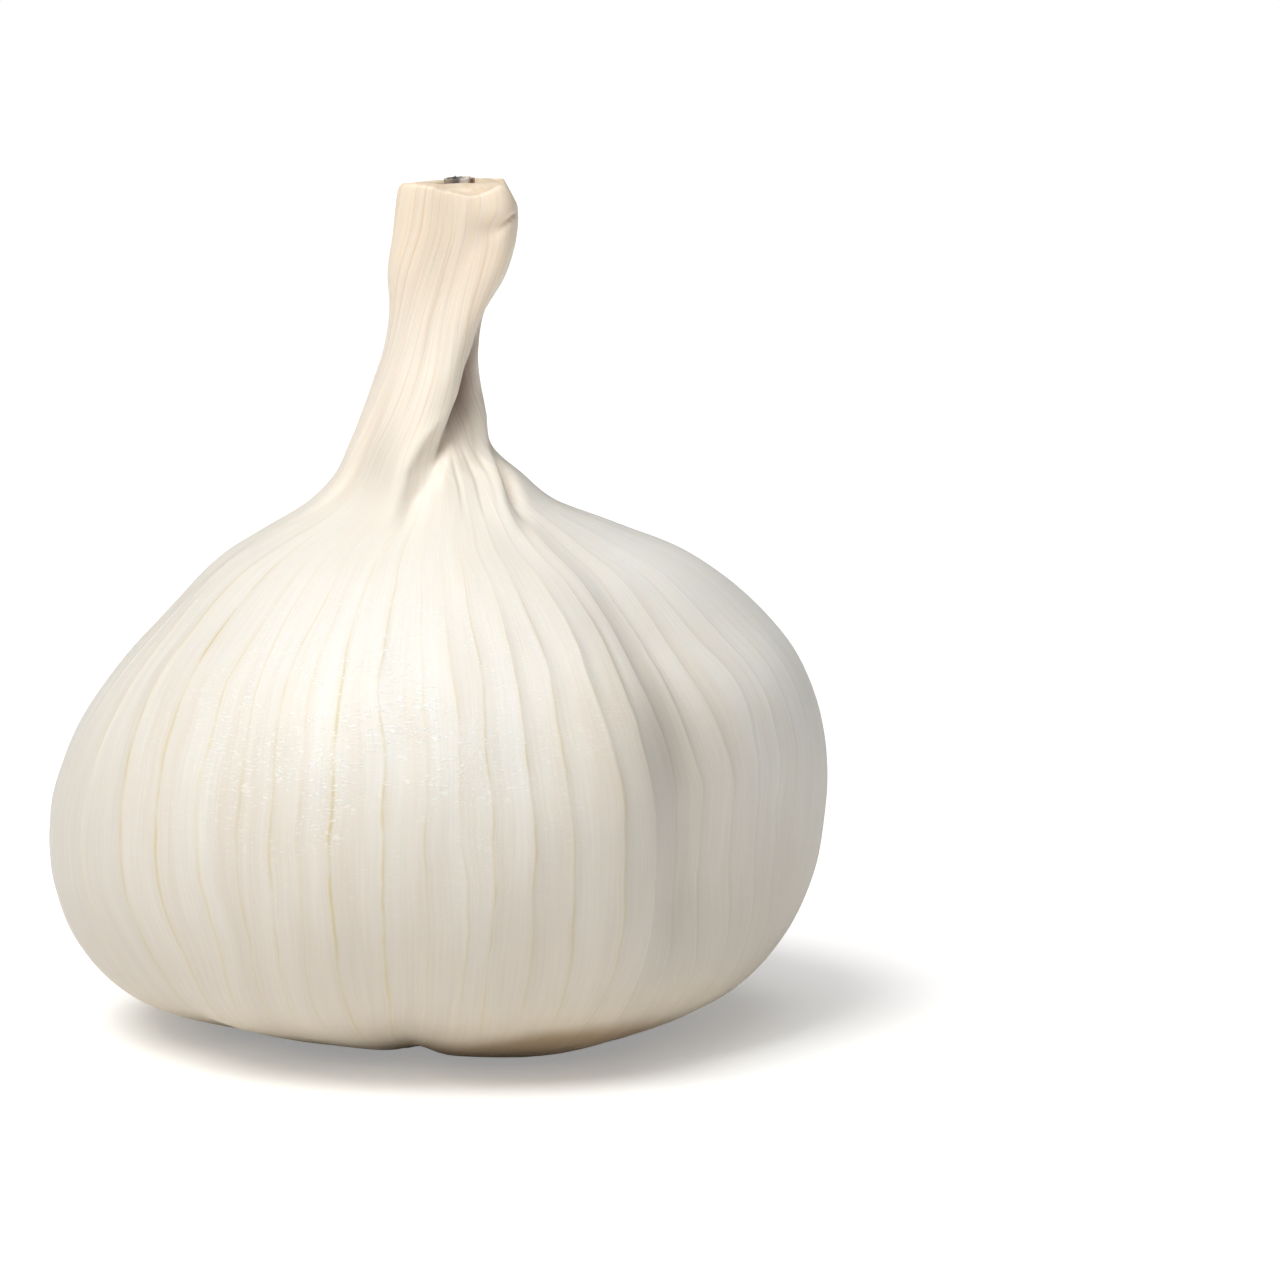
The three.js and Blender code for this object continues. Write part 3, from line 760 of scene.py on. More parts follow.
# Veins that show: number, strength of the line, crest of its strip in mm, and how many degrees it
# strays from its even place at each of driftHeights (mm). The ones left out stray as their
# neighbours do.
driftHeights = (6, 14, 22, 26, 30, 34)
markedVeins = [
    (32, 0.15, 0.03, (0, 0, 0, 0, 0, 0)),
    (36, 0.1, 0.02, (6, 0.5, -2, -4.5, -6, -7)),
    (37, 1.7, 0.06, (5.5, 0, -3, -6, -8, -9)),
    (38, 1.1, 0.05, (7, 2.5, 0.5, -1, -3, -4)),
    (39, 0.6, 0.04, (7, 5, 2.5, 2.5, 1.5, 2)),
    (40, 0.6, 0.04, (6, 5, 4, 3.5, 2, 1.5)),
    (41, 0.75, 0.05, (4, 3.5, 3.5, 2.5, 1.5, 2)),
    (42, 0.4, 0.03, (1.5, 2, 1.5, 1, 0, 0)),
    (43, 1.1, 0.05, (1, 0.5, 0.5, 0, -0.5, -1.5)),
    (44, 1.0, 0.07, (2, 2, 2, 1.5, 0, 0)),
    (45, 0.35, 0.03, (2, 2, 2, 2, 1.5, 0.5)),
    (46, 0.4, 0.04, (1.5, 1.5, 1, 1, 0.5, 0)),
    (47, 0.8, 0.05, (-1.5, -0.5, -0.5, -1, -0.5, -1)),
    (48, 0.5, 0.12, (-1, -1, -1, -1, -1, -1)),
    (49, 0.6, 0.12, (-1, -1, -1.5, -2, -1, -1)),
    (50, 0.4, 0.21, (0.5, 0.5, 0.5, 0, -0.5, 0.5)),
    (51, 0.3, 0.16, (0.5, 0.5, 0.5, 0, -0.5, 0.5)),
    (52, 0.25, 0.16, (1, 1, 1, -0.5, -2, -1)),
    (53, 0.3, 0.19, (2, 2, 2, -0.5, -1.5, -1)),
    (54, 0.2, 0.13, (3, 3, 3, 1, -1, -0.5)),
    (55, 0.15, 0.08, (3, 3, 3, 2.5, 2.5, 1)),
    (56, 0.15, 0.06, (2.5, 2.5, 2.5, 2, 2, 1)),
    (59, 0.15, 0.01, (0, 0, 0, 0, 0, 0)),
]


# 0 before a named span, 1 after it
def since(name, value):
    return fade(*spans[name], value)


# 1 before a named span, 0 after it
def until(name, value):
    return 1 - since(name, value)


# sum of one noise's layers; share goes from 0 to 1 round the bulb
def noise(name, share, height):
    total = 0
    for weight, cells, tall, seed in noises[name]:
        total = total + weight * ripple(share * cells, height / tall, cells, seed)
    return total


# an asymmetric bell across the path of a fold, its depth and widths carried along the heights
def foldDepth(rows, angle, height):
    heights, *columns = np.asarray(rows, float).T
    middle, depth, left, right = (np.interp(height, heights, column) for column in columns)
    inside = (height >= heights[0]) & (height <= heights[-1])
    away = turn(angle - middle)
    return np.where(inside, depth, 0) * bell(away / np.where(away < 0, left, right))


# sum of bells across the valleys; depth passes from foot to belly to shoulder and ends at the neck
def valleyDepth(angle, height):
    belly, shoulder, end = since("belly", height), since("shoulder", height), since("valleyEnd", height)
    depth = 0
    for middle, left, right, atFoot, atBelly, atShoulder in valleys:
        low = atFoot * (1 - belly) + atBelly * belly * (1 - shoulder)
        here = low + atShoulder * shoulder * (1 - end)
        away = turn(angle - middle)
        depth = depth + here * bell(away / np.where(away < 0, left, right))
    return depth


# sum of soft spots: for each, a bell round by its angle, times a bell up, times its amount
def spotSum(rows, at):
    total = 0
    for kind, middle, width, level, tall, amount in rows:
        sideways = bell(turn(at[kind] - middle) / width)
        total = total + amount * sideways * bell((at["height"] - level) / tall)
    return total


# bell round one side of the bulb, from a pair of middle and half width
def sideBell(angle, side):
    return bell(turn(angle - side[0]) / side[1])


# degrees that the skin strays from its even place: curves through the marked veins' own, first
# along the heights, then from vein to vein
def drift(u, height):
    table = np.array([row[3] for row in markedVeins], float)
    numbers = [row[0] for row in markedVeins]
    level = np.interp(height[:, 0], driftHeights, np.arange(len(driftHeights)))
    across = np.interp((u[0] % 360) / 360 * bulb["veins"], numbers, np.arange(len(table)))
    return throughRows(throughRows(table.T, level).T, across).T


# Crest of each vein in millimetres: the marked ones' own, low by chance for the others, and lower
# still on the smooth side.
def crest(number):
    number = number % bulb["veins"]
    smooth = 1 - 0.6 * sideBell(number * 360 / bulb["veins"], bulb["smoothSide"])
    height = bulb["bodyRib"] * (0.3 + 0.7 * chance(number, 1)) * smooth
    for marked, _, own, _ in markedVeins:
        height = np.where(number == marked, own, height)
    return height


# Cross section of the strips: a sharp crest on each vein, a quick hollow fall to its right and a
# slow rise to the next one. Its mean is kept near zero.
def stripHeight(place):
    vein = np.floor(place)
    share = place - vein
    here, following = crest(vein), crest(vein + 1)
    fall = np.maximum(0, 1 - share / bulb["fallShare"]) ** 2
    rise = np.maximum(0, (share - bulb["riseShare"]) / (1 - bulb["riseShare"])) ** 1.5
    return here * fall + following * rise - 0.25 * (here * (1 - share) + following * share)


# strength of the nearest vein: its own number's, changed slowly along it, weaker on the shoulder
def veinStrength(place, height):
    veins = bulb["veins"]
    nearest = np.floor(place + 0.5) % veins
    own = 0.2 + 0.6 * chance(nearest, 3) ** 2
    for number, strength, _, _ in markedVeins:
        own = np.where(nearest == number, strength, own)
    slow = 0.75 + 0.25 * ripple(nearest * 1.0, height / 6.5, veins, 4)
    return own * slow * (1 - 0.7 * since("veinFade", height))


# Where each point of the skin lies: grown is its even angle, strayed adds the vein's wandering and
# kinks, turned adds the neck's twist and the lean of the fold's edge, past is degrees beyond that
# edge, vein counts the strips, twisted less under the fold, and inner is 1 where the inner skin is
# bare on the left.
def skinPlaces(u, p, height, twist):
    veins = bulb["veins"]
    stray = drift(u, height) + bulb["kink"] * noise("kinks", u / 360, height)
    strayed = u + stray * since("strayStart", p) * until("strayEnd", height)
    turned = strayed + twist

    heights, edgeAngle, depths = np.asarray(folds["recess"], float).T[:3]
    past = turn(turned - np.interp(height, heights, edgeAngle))
    deep = np.interp(height, heights, depths) / depths.max() * until("lipEnd", height)
    turned = turned + bulb["lipReach"] * deep * sideBell(past, bulb["lipPlace"])
    under = since("underNear", past) * until("underFar", past)
    under = under * since("underStart", height) * until("underEnd", height)
    vein = (u + (1 - bulb["lowTwist"]) * twist * under) / 360 * veins

    beyond = turn(bulb["skinEdgeAngle"] - u)
    inner = since("innerNear", beyond) * until("innerFar", beyond) * until("innerEnd", height)
    inner = inner * (1 - 0.6 * since("innerSink", height))
    return {"grown": u, "place": p, "height": height, "strayed": strayed, "turned": turned,
            "past": past, "vein": vein, "inner": inner}


# Millimetres that each point moves out along the slope: the strips' crests, less valleys, folds and
# hollows, with soft lumps on the body, pleats on the neck and a step at the outer skin's edge.
def skinLift(at, depths):
    u, p, height, vein = at["grown"], at["place"], at["height"], at["vein"]
    body = since("bodyStart", p) * until("bodyEnd", height)
    neck = since("neckStart", height) * (1 - 0.4 * since("pleatSink", height))
    rib = (0.25 + 0.75 * since("ribGrow", height)) * (1 - 0.85 * since("ribSink", height)) * body
    lumps = bulb["lumps"] * noise("lumps", u / 360, height)
    pleats = bulb["neckPleats"] * noise("pleats", vein / bulb["veins"], height)
    lift = rib * stripHeight(vein) - valleyDepth(at["strayed"], height) - sum(depths.values())
    lift = lift - spotSum(hollows, at) - bulb["skinEdge"] * at["inner"] * body
    lift = lift + body * lumps + neck * pleats
    return lift * since("pocketEnd", p) * (1 - fade(rimPlace - 0.5, rimPlace + 1, p))


# The cut end: tilted as a whole, its rim ragged and dipping where it sags, low rings of skin round
# the stalk, and its right corner pressed flat by a slanting plane.
def cutShape(points, at):
    p, height = at["place"], at["height"]
    tilt = since("tiltStart", height) * ((points[..., :2] - cutCentre) @ cutTilt)
    sag = sum(depth * sideBell(at["turned"], side) for *side, depth in bulb["cutSags"])
    sag = sag * since("sagStart", height) * (1 - fade(rimPlace + 0.3, rimPlace + 2.5, p))
    ragged = bulb["ragged"] * ripple(at["vein"] * 0.7, p * 0, 42, 41) * bell((p - rimPlace) / 0.8)
    layers = ripple(at["grown"] / 40, p * 2.2 + at["grown"] / 360, 9, 43)
    layers = bulb["cutLayers"] * layers * fade(rimPlace, rimPlace + 1, p)
    points[..., 2] += tilt - sag + ragged + layers
    slope = math.radians(bulb["cornerSlope"])
    normal = np.array([math.cos(slope), 0, math.sin(slope)])
    over = np.maximum(points @ normal - bulb["cornerReach"], 0) * (height > bulb["cornerFoot"])
    return points - over[..., None] * normal


# Values that the finish reads: strength of the veins, and masks that are 1 where their colour is
# full.
def skinValues(at, depths):
    height, past, inner = at["height"], at["past"], at["inner"]
    body = until("neckStart", height)
    faint = 1 - 0.7 * sideBell(at["grown"], bulb["faintSide"])
    vein = veinStrength(at["vein"], height) * (1 - 0.6 * inner) * faint * body
    # painted shade in the neck's recess, past the fold's edge
    level, tall = bulb["recessShadeLevel"]
    recess = since("recessShadeNear", past) * until("recessShadeFar", past) * bell((height - level) / tall)
    # painted shade in the creases, from the folds' depth, and a painted shadow beside one vein
    creaseShadeShare = sum(depths[name] for name in shadedCreaseFolds) / bulb["creaseShadeDepth"]
    number, width, level, tall, amount = bulb["veinShadow"]
    shadow = bell((at["vein"] % bulb["veins"] - number) / width) * bell((height - level) / tall)
    return {
        "vein": vein,
        "upper": since("upperStart", height) * until("upperEnd", height),
        "neck": since("neckColour", height),
        "high": since("highColour", height),
        "shade": spotSum(shadeSpots, at),
        # stain at the foot, with painted shade at the bottom right
        "foot": until("footColour", height) + spotSum(footShadeSpots, at),
        # painted shade, darker towards the bottom
        "low": until("lowShadeHeights", height),
        "inner": inner * body,
        "cool": 0.9 * sideBell(at["grown"], bulb["coolSide"]),
        "recess": recess,
        "creaseShade": np.clip(creaseShadeShare, 0, 1) + amount * shadow,
        "cut": fade(rimPlace - 0.6, rimPlace + 0.4, at["place"]),
        # where the crinkles lie: small relief and painted white highlights
        "crinkle": spotSum(crinkleSpots, at),
    }


# Points of the skin in rings, the values for its finish, and the vein coordinate. A section's four
# reaches are blended round its centre by angle, each point is lifted along the outward slope of the
# outline and kept above the floor, and the cut end gets its shape.
def skinSurface(grown, place):
    u, p = grown[None, :], place[:, None]
    height, right, back, left, front, x, y, twist = throughRows(sections, place).T[:, :, None]
    change = (throughRows(sections, place + 0.02) - throughRows(sections, place - 0.02)).T
    rise, run = change[0][:, None], change[1:5].mean(0)[:, None]
    slope = np.hypot(rise, run) + 1e-9
    at = skinPlaces(u, p, height, twist)
    depths = {name: foldDepth(rows, at["turned"], height) for name, rows in folds.items()}
    lift = skinLift(at, depths)

    c, s = np.cos(np.radians(at["turned"])), np.sin(np.radians(at["turned"]))
    radius = ovalReach(right, back, left, front, c, s) + lift * rise / slope
    points = np.stack([x + radius * c, y + radius * s, height - lift * run / slope], -1)
    outside = p > spans["pocketEnd"][0]
    points[..., 2] = np.where(outside, np.maximum(points[..., 2], 0), points[..., 2])
    return cutShape(points, at), skinValues(at, depths), at["vein"] / bulb["veins"]


# arc length along the sections' mean outline, as a share of the whole
def meridianShare(place):
    rows = throughRows(sections, place)
    steps = np.hypot(np.diff(rows[:, 0]), np.diff(rows[:, 1:5].mean(1)))
    length = np.concatenate([[0], np.cumsum(steps)])
    return length / length[-1]


# the points are brought into the solid's own box: in each direction their range is laid on its range
def fitToNode(points, node):
    low, high = (np.array(corner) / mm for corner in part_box(node))
    least, most = points.min(0), points.max(0)
    return low + (points - least) / (most - least) * (high - low)


# The skin's grid: columns at the fine or wide shares of each strip, rings evenly over each stretch
# of the sections, and a pole at each end.
def makeBulb():
    first, last = bulb["fineVeins"]
    grown = []
    for vein in range(last - bulb["veins"], last):
        shares = bulb["fineShares"] if vein >= first else bulb["wideShares"]
        grown.extend((vein + share) * 360 / bulb["veins"] for share in shares)
    grown = np.array(grown)
    gap, lastPlace = bulb["poleGap"], len(sections) - 1
    place = np.concatenate([
        np.linspace(gap, footPlace, bulb["ringsPocket"], endpoint=False),
        np.linspace(footPlace, shoulderPlace, bulb["ringsBody"], endpoint=False),
        np.linspace(shoulderPlace, rimPlace, bulb["ringsNeck"], endpoint=False),
        np.linspace(rimPlace, lastPlace - gap, bulb["ringsCut"]),
    ])
    points, values, ring = skinSurface(grown, place)
    poles = throughRows(sections, np.array([0, lastPlace]))[:, [5, 6, 0]]
    points = fitToNode(np.concatenate([points.reshape(-1, 3), poles]), "bulb")
    quads, fans = gridFaces(len(place), len(grown))
    skin = makeSkinMaterial(bulb["veins"])
    item = newPiece("garlicBulb", points, quads, fans, skin, "bulb")
    for name, value in values.items():
        whole = np.broadcast_to(value, ring.shape).ravel()
        keepValue(item, name, np.concatenate([whole, [whole[0], whole[-1]]]))
    addStripMap(item, ring, meridianShare(place), quads, fans)


makeBulb()
print("bulb made")


# the dry stalk in the cut end

stalk = {
    "columns": 96,
    "rings": 72,
    "reach": (1.2, 0.55, 1.2, 0.55),   # mm, right, back, left, front
    # outline: share of the way along it, and how far out, as a share of the reach
    "outline": ((0, 0.08, 0.12, 0.3, 0.36, 1), (0.55, 0.95, 1, 1, 0.95, 0.02)),
    # the same share, and height in mm before the cut's tilt, up the wall
    "wall": ((0, 0.08, 0.12, 0.3), (62.55, 62.7, 63.05, 64.87)),
    "topStart": (0.3, 0.38),           # share of the way where the wall gives way to the top
    "top": 64.87,                      # mm, mean height of the leaf bases' edges
    "layers": 1.9,                     # leaf bases from the middle to the rim
    "layerStep": 0.3,                  # mm
    "frayed": 0.16,
    "fibre": 0.09,
    "bend": 0.06,                      # waviness of the leaf bases, as a share of the reach
    "flutes": 0.05,                    # unevenness of the wall, as a share of the reach
    "fluteWidth": 7.5,                 # degrees
    "crestShare": 0.25,                # of a leaf base, from its foot out to its crest
    "scar": (0.95, -0.35, 0.22, 0.25),   # mm to the right and to the back, half widths
}

stalkLook = {
    "straw": (0.42, 0.35, 0.27),
    "pale": (0.72, 0.68, 0.60),
    "white": (0.90, 0.84, 0.76),
    "grey": (0.23, 0.21, 0.20),
    # dark of the specks, also painted shade in the gaps between leaf bases
    "dark": (0.055, 0.047, 0.042),
    "scar": (0.30, 0.16, 0.08),
    "fine": 900.0,             # cells in a metre
    "broad": 420.0,
    "specks": {"Scale": 1500.0, "Size": 0.35, "Share": 0.25},
    "fibres": {"Around": 120.0, "Along": 9.0, "Detail": 2.0, "Seed": 2.0},
    # masks: the range that is read, and the one that it is laid on where that isn't 0 to 1
    "ramps": {"grey": (0.42, 0.6), "pale": (0.45, 0.62), "white": (0.3, 0.5, 0.55, 0.95)},
    # how much of the dark shows: as painted shade in the gaps, and in the specks
    "cover": {"gapShade": 0.75, "specks": 0.8},
    "grainHeight": 0.12,       # mm
    "fibreHeight": 0.05,
    "roughness": 0.77,         # where the grain is low, and what it adds where it is high
    "grainRoughness": 0.15,
    "shader": {"Specular IOR Level": 0.25},
}


# Outline from the middle of the underside, round the wall and over the top to its middle. The top
# is a saw-tooth of the distance from the middle, turned with the angle into a loose spiral of leaf
# bases, with frayed edges from noise. The values are 1 on the leaf bases' edges, on the top, towards
# the right side and on the scar.
def stalkSurface(grown, share):
    angle = np.radians(grown)[None, :]
    t = share[:, None]
    out = np.interp(t, *stalk["outline"])
    c, s = np.cos(angle), np.sin(angle)
    reach = ovalReach(*stalk["reach"], c, s)
    onTop = fade(*stalk["topStart"], t)
    u = grown[None, :]
    bend = ripple(u / 24, t * 0, 15, 51) + 0.5 * ripple(u / 9, t * 4, 40, 52)
    leaf = (out + stalk["bend"] * bend) * stalk["layers"] + u / 360
    step, crestShare = leaf % 1, stalk["crestShare"]
    tooth = np.where(step < crestShare, step / crestShare, 1 - (step - crestShare) / (1 - crestShare))
    base = np.floor(leaf)
    fray = stalk["frayed"] * ripple(u / 12 + base * 7, out * 9, 3000, 53)
    fibre = stalk["fibre"] * ripple(u / 5, out * 16, 72, 54)
    level = stalk["top"] - stalk["layerStep"] * (0.4 + 0.6 * chance(base, 55)) * (1 - tooth)
    level = level + tooth * fray + fibre
    wide = 1 - stalk["flutes"] * chance(np.floor(u / stalk["fluteWidth"]), 5) * fade(0.1, 0.2, t)
    x, y = reach * out * wide * c, reach * out * wide * s
    centre = np.array(stalkCentre)
    rise = (np.stack([x, y], -1) + centre - cutCentre) @ cutTilt
    z = np.interp(t, *stalk["wall"]) * (1 - onTop) + level * onTop + rise
    points = np.stack([x + centre[0], y + centre[1], z], -1)
    right, behind, width, deep = stalk["scar"]
    return points, {
        "edge": tooth * onTop,
        "top": onTop,
        "side": fade(-0.1, 0.5, out * wide * c),
        "scar": bell((x - right) / width) * bell((y - behind) / deep),
    }


# Straw and grey in clouds, pale on the leaf bases' frayed edges, painted shade in the gaps between
# them, dark in small specks, whiter towards the right, with one brown scar.
def makeStalkMaterial():
    look = stalkLook
    material, tree, shader, u, v = newMaterial("dryStalk")
    where = addNode(tree, "ShaderNodeTexCoord").outputs["Object"]
    tooth = kept(tree, "edge")
    fine = cloud(tree, where, look["fine"], 3.0, 0.6)
    broad = cloud(tree, where, look["broad"], 2.0)
    colour = mixColour(tree, ramp(tree, look, "grey", broad), look["straw"], look["grey"])
    pale = times(tree, ramp(tree, look, "pale", fine), tooth)
    colour = mixColour(tree, pale, colour, look["pale"])
    # painted shade in the gaps between the leaf bases on the top
    gapShade = times(tree, maths(tree, "SUBTRACT", 1.0, tooth), kept(tree, "top"))
    colour = mixColour(tree, times(tree, gapShade, look["cover"]["gapShade"]), colour, look["dark"])
    spots = placeGroup(tree, specks, Vector=where, **look["specks"])["Mask"]
    colour = mixColour(tree, times(tree, spots, look["cover"]["specks"]), colour, look["dark"])
    whiter = times(tree, kept(tree, "side"), ramp(tree, look, "white", fine))
    colour = mixColour(tree, whiter, colour, look["white"])
    colour = mixColour(tree, kept(tree, "scar"), colour, look["scar"])
    feed(tree, shader.inputs["Base Color"], colour)
    dull = maths(tree, "MULTIPLY_ADD", fine, look["grainRoughness"], look["roughness"])
    feed(tree, shader.inputs["Roughness"], dull)
    fibres = placeGroup(tree, streaks, U=u, V=v, **look["fibres"])["Value"]
    raiseSurface(tree, shader, [
        times(tree, fine, look["grainHeight"]),
        times(tree, fibres, look["fibreHeight"]),
    ])
    setShader(shader, look["shader"])
    return material


# the stalk's surface with a pole at each end, and its values
def makeStalk():
    around, rings = stalk["columns"], stalk["rings"]
    grown = np.arange(around) * 360 / around
    share = np.linspace(0, 1, rings)
    points, values = stalkSurface(grown, share)
    poles = points[[0, -1]].mean(1)
    points = np.concatenate([points.reshape(-1, 3), poles])
    quads, fans = gridFaces(rings, around)
    item = newPiece("stalkEnd", points, quads, fans, makeStalkMaterial(), "stalk_stub")
    atPoles = {"edge": (0, 0.5), "top": (0, 1), "side": (0, 0), "scar": (0, 0)}
    for name, value in values.items():
        whole = np.broadcast_to(value, (rings, around)).ravel()
        keepValue(item, name, np.concatenate([whole, atPoles[name]]))
    addStripMap(item, np.broadcast_to(grown / 360, (rings, around)), share, quads, fans)


makeStalk()
print("stalk made")


# the root plate

plate = {
    "columns": 120,
    "rings": 70,
    # outline from the middle of the underside: distance, height in mm
    "outline": [
        (0, 0.75), (0.6, 0.75), (1.1, 0.8), (1.7, 1.5), (3.2, 1.62), (4.6, 1.6), (5.6, 1.25), (6.3, 1.0),
        (6.9, 1.15), (7.0, 1.6), (7.0, 2.0), (6.7, 2.4), (6.2, 2.65), (3.0, 2.65), (0.3, 2.65),
    ],
    "underside": 1.5,          # mm, height
    "knobs": 0.16,             # mm, corky unevenness
    "knobsEnd": (9, 11),       # rows of the outline where it ends, on the rim
    "uneven": 0.03,            # share of the distance, waviness of the rim
    "stubRings": [(2.9, 7), (4.4, 11), (5.9, 15)],   # distance from the axis, roots on it
    "stubTip": 0.3,            # mm, height
    "stubRadius": 0.5,
    "stubSunk": 0.6,           # mm into the plate
    "stubLean": 0.3,           # outwards for each mm down, at most
    "rootlets": 110,           # finer dry roots between the thick ones
    "rootletSpan": (1.9, 6.8),   # mm from the axis
    "rootletRadius": 0.13,
    "rootletLean": 0.35,
    "rootSides": 9,
    "rootRings": 6,
    "rootTaper": 0.25,         # share of the radius lost from top to tip
    "rootRough": 0.22,         # share of the radius, unevenness of the circle
    "rootSway": 0.35,          # share of the radius, sideways
    "rootEnd": 0.72,           # share of the radius at the tip's edge
}

plateLook = {
    "cork": (0.40, 0.27, 0.15),
    "pale": (0.62, 0.47, 0.30),
    # dark of the pits, also painted shade where the piece is sunk
    "dark": (0.12, 0.075, 0.04),
    "fine": 1300.0,            # cells in a metre
    "broad": 350.0,
    "fibres": {"Around": 40.0, "Along": 6.0, "Detail": 2.0, "Seed": 4.0},
    # masks: the range that is read, and the one that it is laid on where that isn't 0 to 1
    "ramps": {"pale": (0.35, 0.65), "pits": (0.52, 0.7), "fibres": (0.45, 0.7, 0.0, 0.35)},
    # how much of the dark shows: in the pits, and as painted shade where sunk
    "cover": {"pits": 0.7, "sunk": 0.75},
    "grainHeight": 0.14,       # mm
    "fibreHeight": 0.06,
    "roughness": 0.82,         # where the grain is low, and what it adds where it is high
    "grainRoughness": 0.15,
    "shader": {"Specular IOR Level": 0.25},
}


# cork and paler cork in clouds, dark in fine pits, painted shade where the piece is sunk, pale along
# fibres
def makePlateMaterial():
    look = plateLook
    material, tree, shader, u, v = newMaterial("corkyRoot")
    where = addNode(tree, "ShaderNodeTexCoord").outputs["Object"]
    broad = cloud(tree, where, look["broad"], 3.0)
    fine = cloud(tree, where, look["fine"], 3.0, 0.65)
    fibres = placeGroup(tree, streaks, U=u, V=v, **look["fibres"])["Value"]
    cover = look["cover"]
    colour = mixColour(tree, ramp(tree, look, "pale", broad), look["cork"], look["pale"])
    pits = ramp(tree, look, "pits", fine)
    colour = mixColour(tree, times(tree, pits, cover["pits"]), colour, look["dark"])
    # painted shade where the piece is sunk
    colour = mixColour(tree, times(tree, kept(tree, "sunk"), cover["sunk"]), colour, look["dark"])
    colour = mixColour(tree, ramp(tree, look, "fibres", fibres), colour, look["pale"])
    feed(tree, shader.inputs["Base Color"], colour)
    dull = maths(tree, "MULTIPLY_ADD", fine, look["grainRoughness"], look["roughness"])
    feed(tree, shader.inputs["Roughness"], dull)
    raiseSurface(tree, shader, [
        times(tree, fine, look["grainHeight"]),
        times(tree, fibres, look["fibreHeight"]),
    ])
    setShader(shader, look["shader"])
    return material


# a disc turned from its outline, its underside roughened by noise
def makePlate(material):
    around, rings = plate["columns"], plate["rings"]
    outline = np.array(plate["outline"])
    place = np.linspace(0.5, len(outline) - 1, rings)
    rows = throughRows(outline, place)
    grown = np.arange(around) * 360 / around
    u = grown[None, :]
    angle = np.radians(u)
    distance, height = rows[:, :1], rows[:, 1:]
    under = 1 - fade(*plate["knobsEnd"], place)[:, None]
    rough = ripple(u / 12, distance * 1.6, 30, 61) + 0.6 * ripple(u / 6, distance * 3.5, 60, 62)
    z = height + plate["knobs"] * rough * under
    wide = distance * (1 + plate["uneven"] * under * ripple(u / 15, distance * 0, 24, 63))
    points = np.stack([growthAxis + wide * np.cos(angle), wide * np.sin(angle), z], -1)
    poles = [[growthAxis, 0, outline[end, 1]] for end in (0, -1)]
    quads, fans = gridFaces(rings, around)
    points = np.concatenate([points.reshape(-1, 3), poles])
    item = newPiece("rootPlate", points, quads, fans, material, "root_plate")
    # painted shade in the hollows of the knobbly underside
    keepValue(item, "sunk", np.concatenate([np.clip(0.4 - rough * under, 0, 1).ravel(), [0, 0]]))
    addStripMap(item, np.broadcast_to(grown / 360, z.shape), place / place[-1], quads, fans)


# Tapered tubes from a common top down to their tips along straight, leaning lines, each closed by a
# fan at both ends: a ring is its centre, swayed a little, plus the radius times a circle roughened
# by chance.
def rootTubes(centre, lean, top, tip, radius, seed):
    count, rings, sides = len(tip), plate["rootRings"], plate["rootSides"]
    down = np.linspace(0, 1, rings)
    n = np.arange(count)[:, None, None]
    k = np.arange(sides)[None, None, :]
    t = down[None, :, None]
    drop = (top - tip)[:, None, None] * t
    around = 2 * np.pi * (k + chance(n, seed)) / sides
    rough = 1 + plate["rootRough"] * (chance(n * 37 + k, seed + 1) - 0.5)
    wide = radius[:, None, None] * (1 - plate["rootTaper"] * t) * rough
    wide = wide * np.where(t == 1, plate["rootEnd"], 1)
    sway = plate["rootSway"] * radius[:, None, None] * np.sin(4 * t + 6 * chance(n, seed + 2))
    x = centre[:, 0, None, None] + lean[:, 0, None, None] * drop + wide * np.cos(around) + sway
    y = centre[:, 1, None, None] + lean[:, 1, None, None] * drop - wide * np.sin(around)
    body = np.stack(np.broadcast_arrays(x, y, top - drop), -1)
    ends = body[:, [0, -1]].mean(2)
    points = np.concatenate([body.reshape(count, -1, 3), ends], 1).reshape(-1, 3)
    quads, fans = gridFaces(rings, sides)
    step = (np.arange(count) * (rings * sides + 2))[:, None, None]
    return points, (quads[None] + step).reshape(-1, 4), (fans[None] + step).reshape(-1, 3)


# thick trimmed roots where the solid has them: distance from the axis, angle, radius, tip and lean
def thickRoots(top):
    rings = plate["stubRings"]
    index = np.arange(sum(number for _, number in rings))
    distance = np.concatenate([np.full(number, reach) for reach, number in rings])
    step = np.concatenate([np.arange(number) / number for _, number in rings])
    share = np.concatenate([np.full(number, 1 / number) for _, number in rings])
    distance = distance + 0.5 * (chance(index, 11) - 0.5)
    angle = 2 * np.pi * (step + 0.35 * chance(index, 10) * share)
    radius = plate["stubRadius"] * (0.8 + 0.4 * chance(index, 13))
    tip = top - (top - plate["stubTip"]) * (1 - 0.15 * chance(index, 12))
    return np.array([distance, angle, radius, tip, plate["stubLean"] * chance(index, 14)])


# the same five rows for finer rootlets at seeded places, spread evenly over the plate
def fineRoots():
    index = np.arange(plate["rootlets"])
    near, far = plate["rootletSpan"]
    distance = near + (far - near) * np.sqrt(chance(index, 72))
    angle = 2 * np.pi * chance(index, 71)
    radius = plate["rootletRadius"] * (0.6 + 0.8 * chance(index, 73))
    tip = plate["stubTip"] + 0.9 * chance(index, 74)
    return np.array([distance, angle, radius, tip, plate["rootletLean"] * chance(index, 75)])


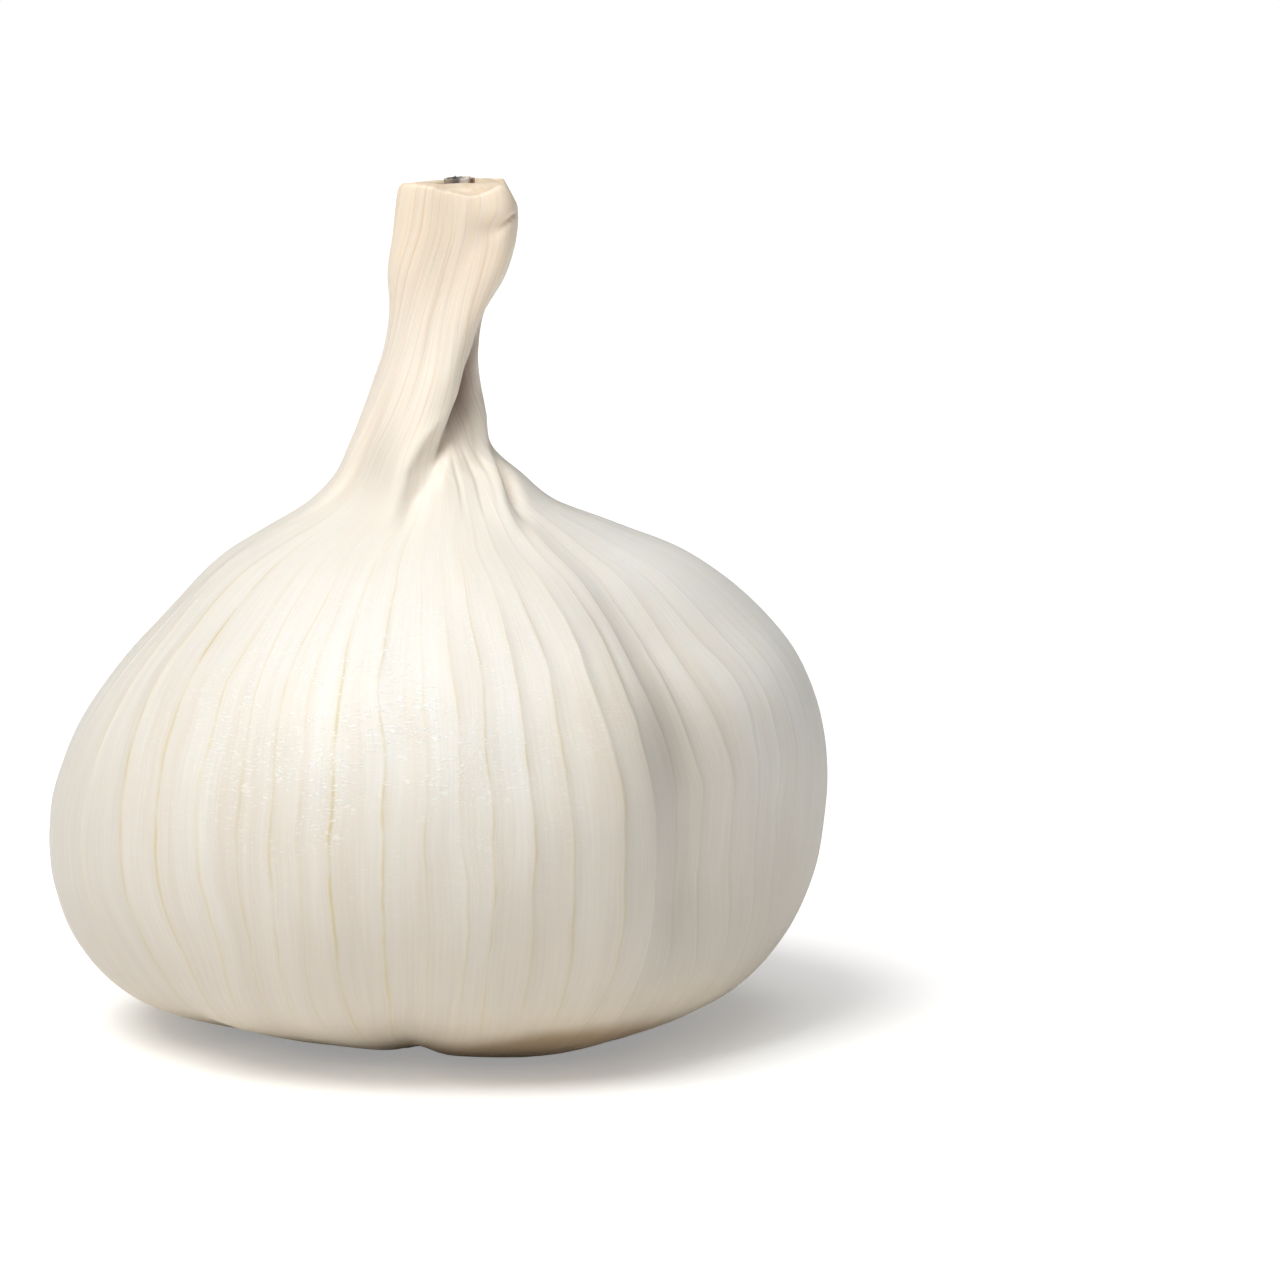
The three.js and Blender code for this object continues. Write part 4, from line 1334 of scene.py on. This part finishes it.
# all roots in one mesh, each leaning outwards from the axis; painted shade darkens them near the plate
def makeRoots(material):
    top = plate["underside"] + plate["stubSunk"]
    distance, angle, radius, tip, lean = np.concatenate([thickRoots(top), fineRoots()], 1)
    outward = np.stack([np.cos(angle), np.sin(angle)], -1)
    centre = distance[:, None] * outward + (growthAxis, 0)
    points, quads, fans = rootTubes(centre, lean[:, None] * outward, top, tip, radius, 81)
    item = newPiece("rootStubs", points, quads, fans, material, "")
    along = np.repeat(np.linspace(0, 1, plate["rootRings"]), plate["rootSides"])
    keepValue(item, "sunk", np.tile(0.5 * (1 - np.concatenate([along, [0, 1]])), len(tip)))
    print("roots:", len(tip))


plateMaterial = makePlateMaterial()
makePlate(plateMaterial)
makeRoots(plateMaterial)
print("root plate made")


# floor, light

studio = {
    "floorSize": 60.0,         # m
    "floorColour": (0.92, 0.92, 0.915),
    "floorGlow": 0.3,          # added for the camera alone
    "ambient": 0.03,           # even light from all round
    # name: elevation and azimuth it comes from, softness (all in degrees), strength, colour
    "lights": {
        "key": (58, -135, 35, 2.05, (1.0, 0.985, 0.96)),
        "top": (85, -130, 60, 1.2, (1.0, 1.0, 1.0)),
        "front": (20, -95, 50, 0.3, (1.0, 1.0, 1.0)),
    },
}


# a flat floor, an even white world, and soft suns, each turned to shine from its place in the sky
def makeStudio():
    size = studio["floorSize"] / 2
    mesh = bpy.data.meshes.new("floor")
    corners = [(-size, -size, 0), (size, -size, 0), (size, size, 0), (-size, size, 0)]
    mesh.from_pydata(corners, [], [(0, 1, 2, 3)])
    material = bpy.data.materials.new("paleFloor")
    material.use_nodes = True
    tree = material.node_tree
    shader = tree.nodes["Principled BSDF"]
    setShader(shader, {
        "Base Color": (*studio["floorColour"], 1), "Emission Color": (1, 1, 1, 1),
        "Roughness": 1.0, "Specular IOR Level": 0.0,
    })
    seen = addNode(tree, "ShaderNodeLightPath").outputs["Is Camera Ray"]
    feed(tree, shader.inputs["Emission Strength"], times(tree, seen, studio["floorGlow"]))
    mesh.materials.append(material)
    floor = bpy.data.objects.new("floor", mesh)
    bpy.context.collection.objects.link(floor)

    world = bpy.data.worlds.new("studio")
    world.use_nodes = True
    tree = world.node_tree
    sky = tree.nodes["Background"]
    sky.inputs["Color"].default_value = (1, 1, 1, 1)
    seen = addNode(tree, "ShaderNodeLightPath").outputs["Is Camera Ray"]
    strength = spread(tree, seen, 0.0, 1.0, studio["ambient"], 1.0, smooth=False)
    feed(tree, sky.inputs["Strength"], strength)
    bpy.context.scene.world = world
    bpy.context.scene.view_settings.view_transform = "Standard"

    for name, (elevation, azimuth, softness, strength, colour) in studio["lights"].items():
        data = bpy.data.lights.new(name, "SUN")
        data.angle, data.energy, data.color = math.radians(softness), strength, colour
        item = bpy.data.objects.new(name, data)
        item.rotation_euler = (math.radians(90 - elevation), 0, math.radians(azimuth + 90))
        bpy.context.collection.objects.link(item)


makeStudio()
print("studio made")
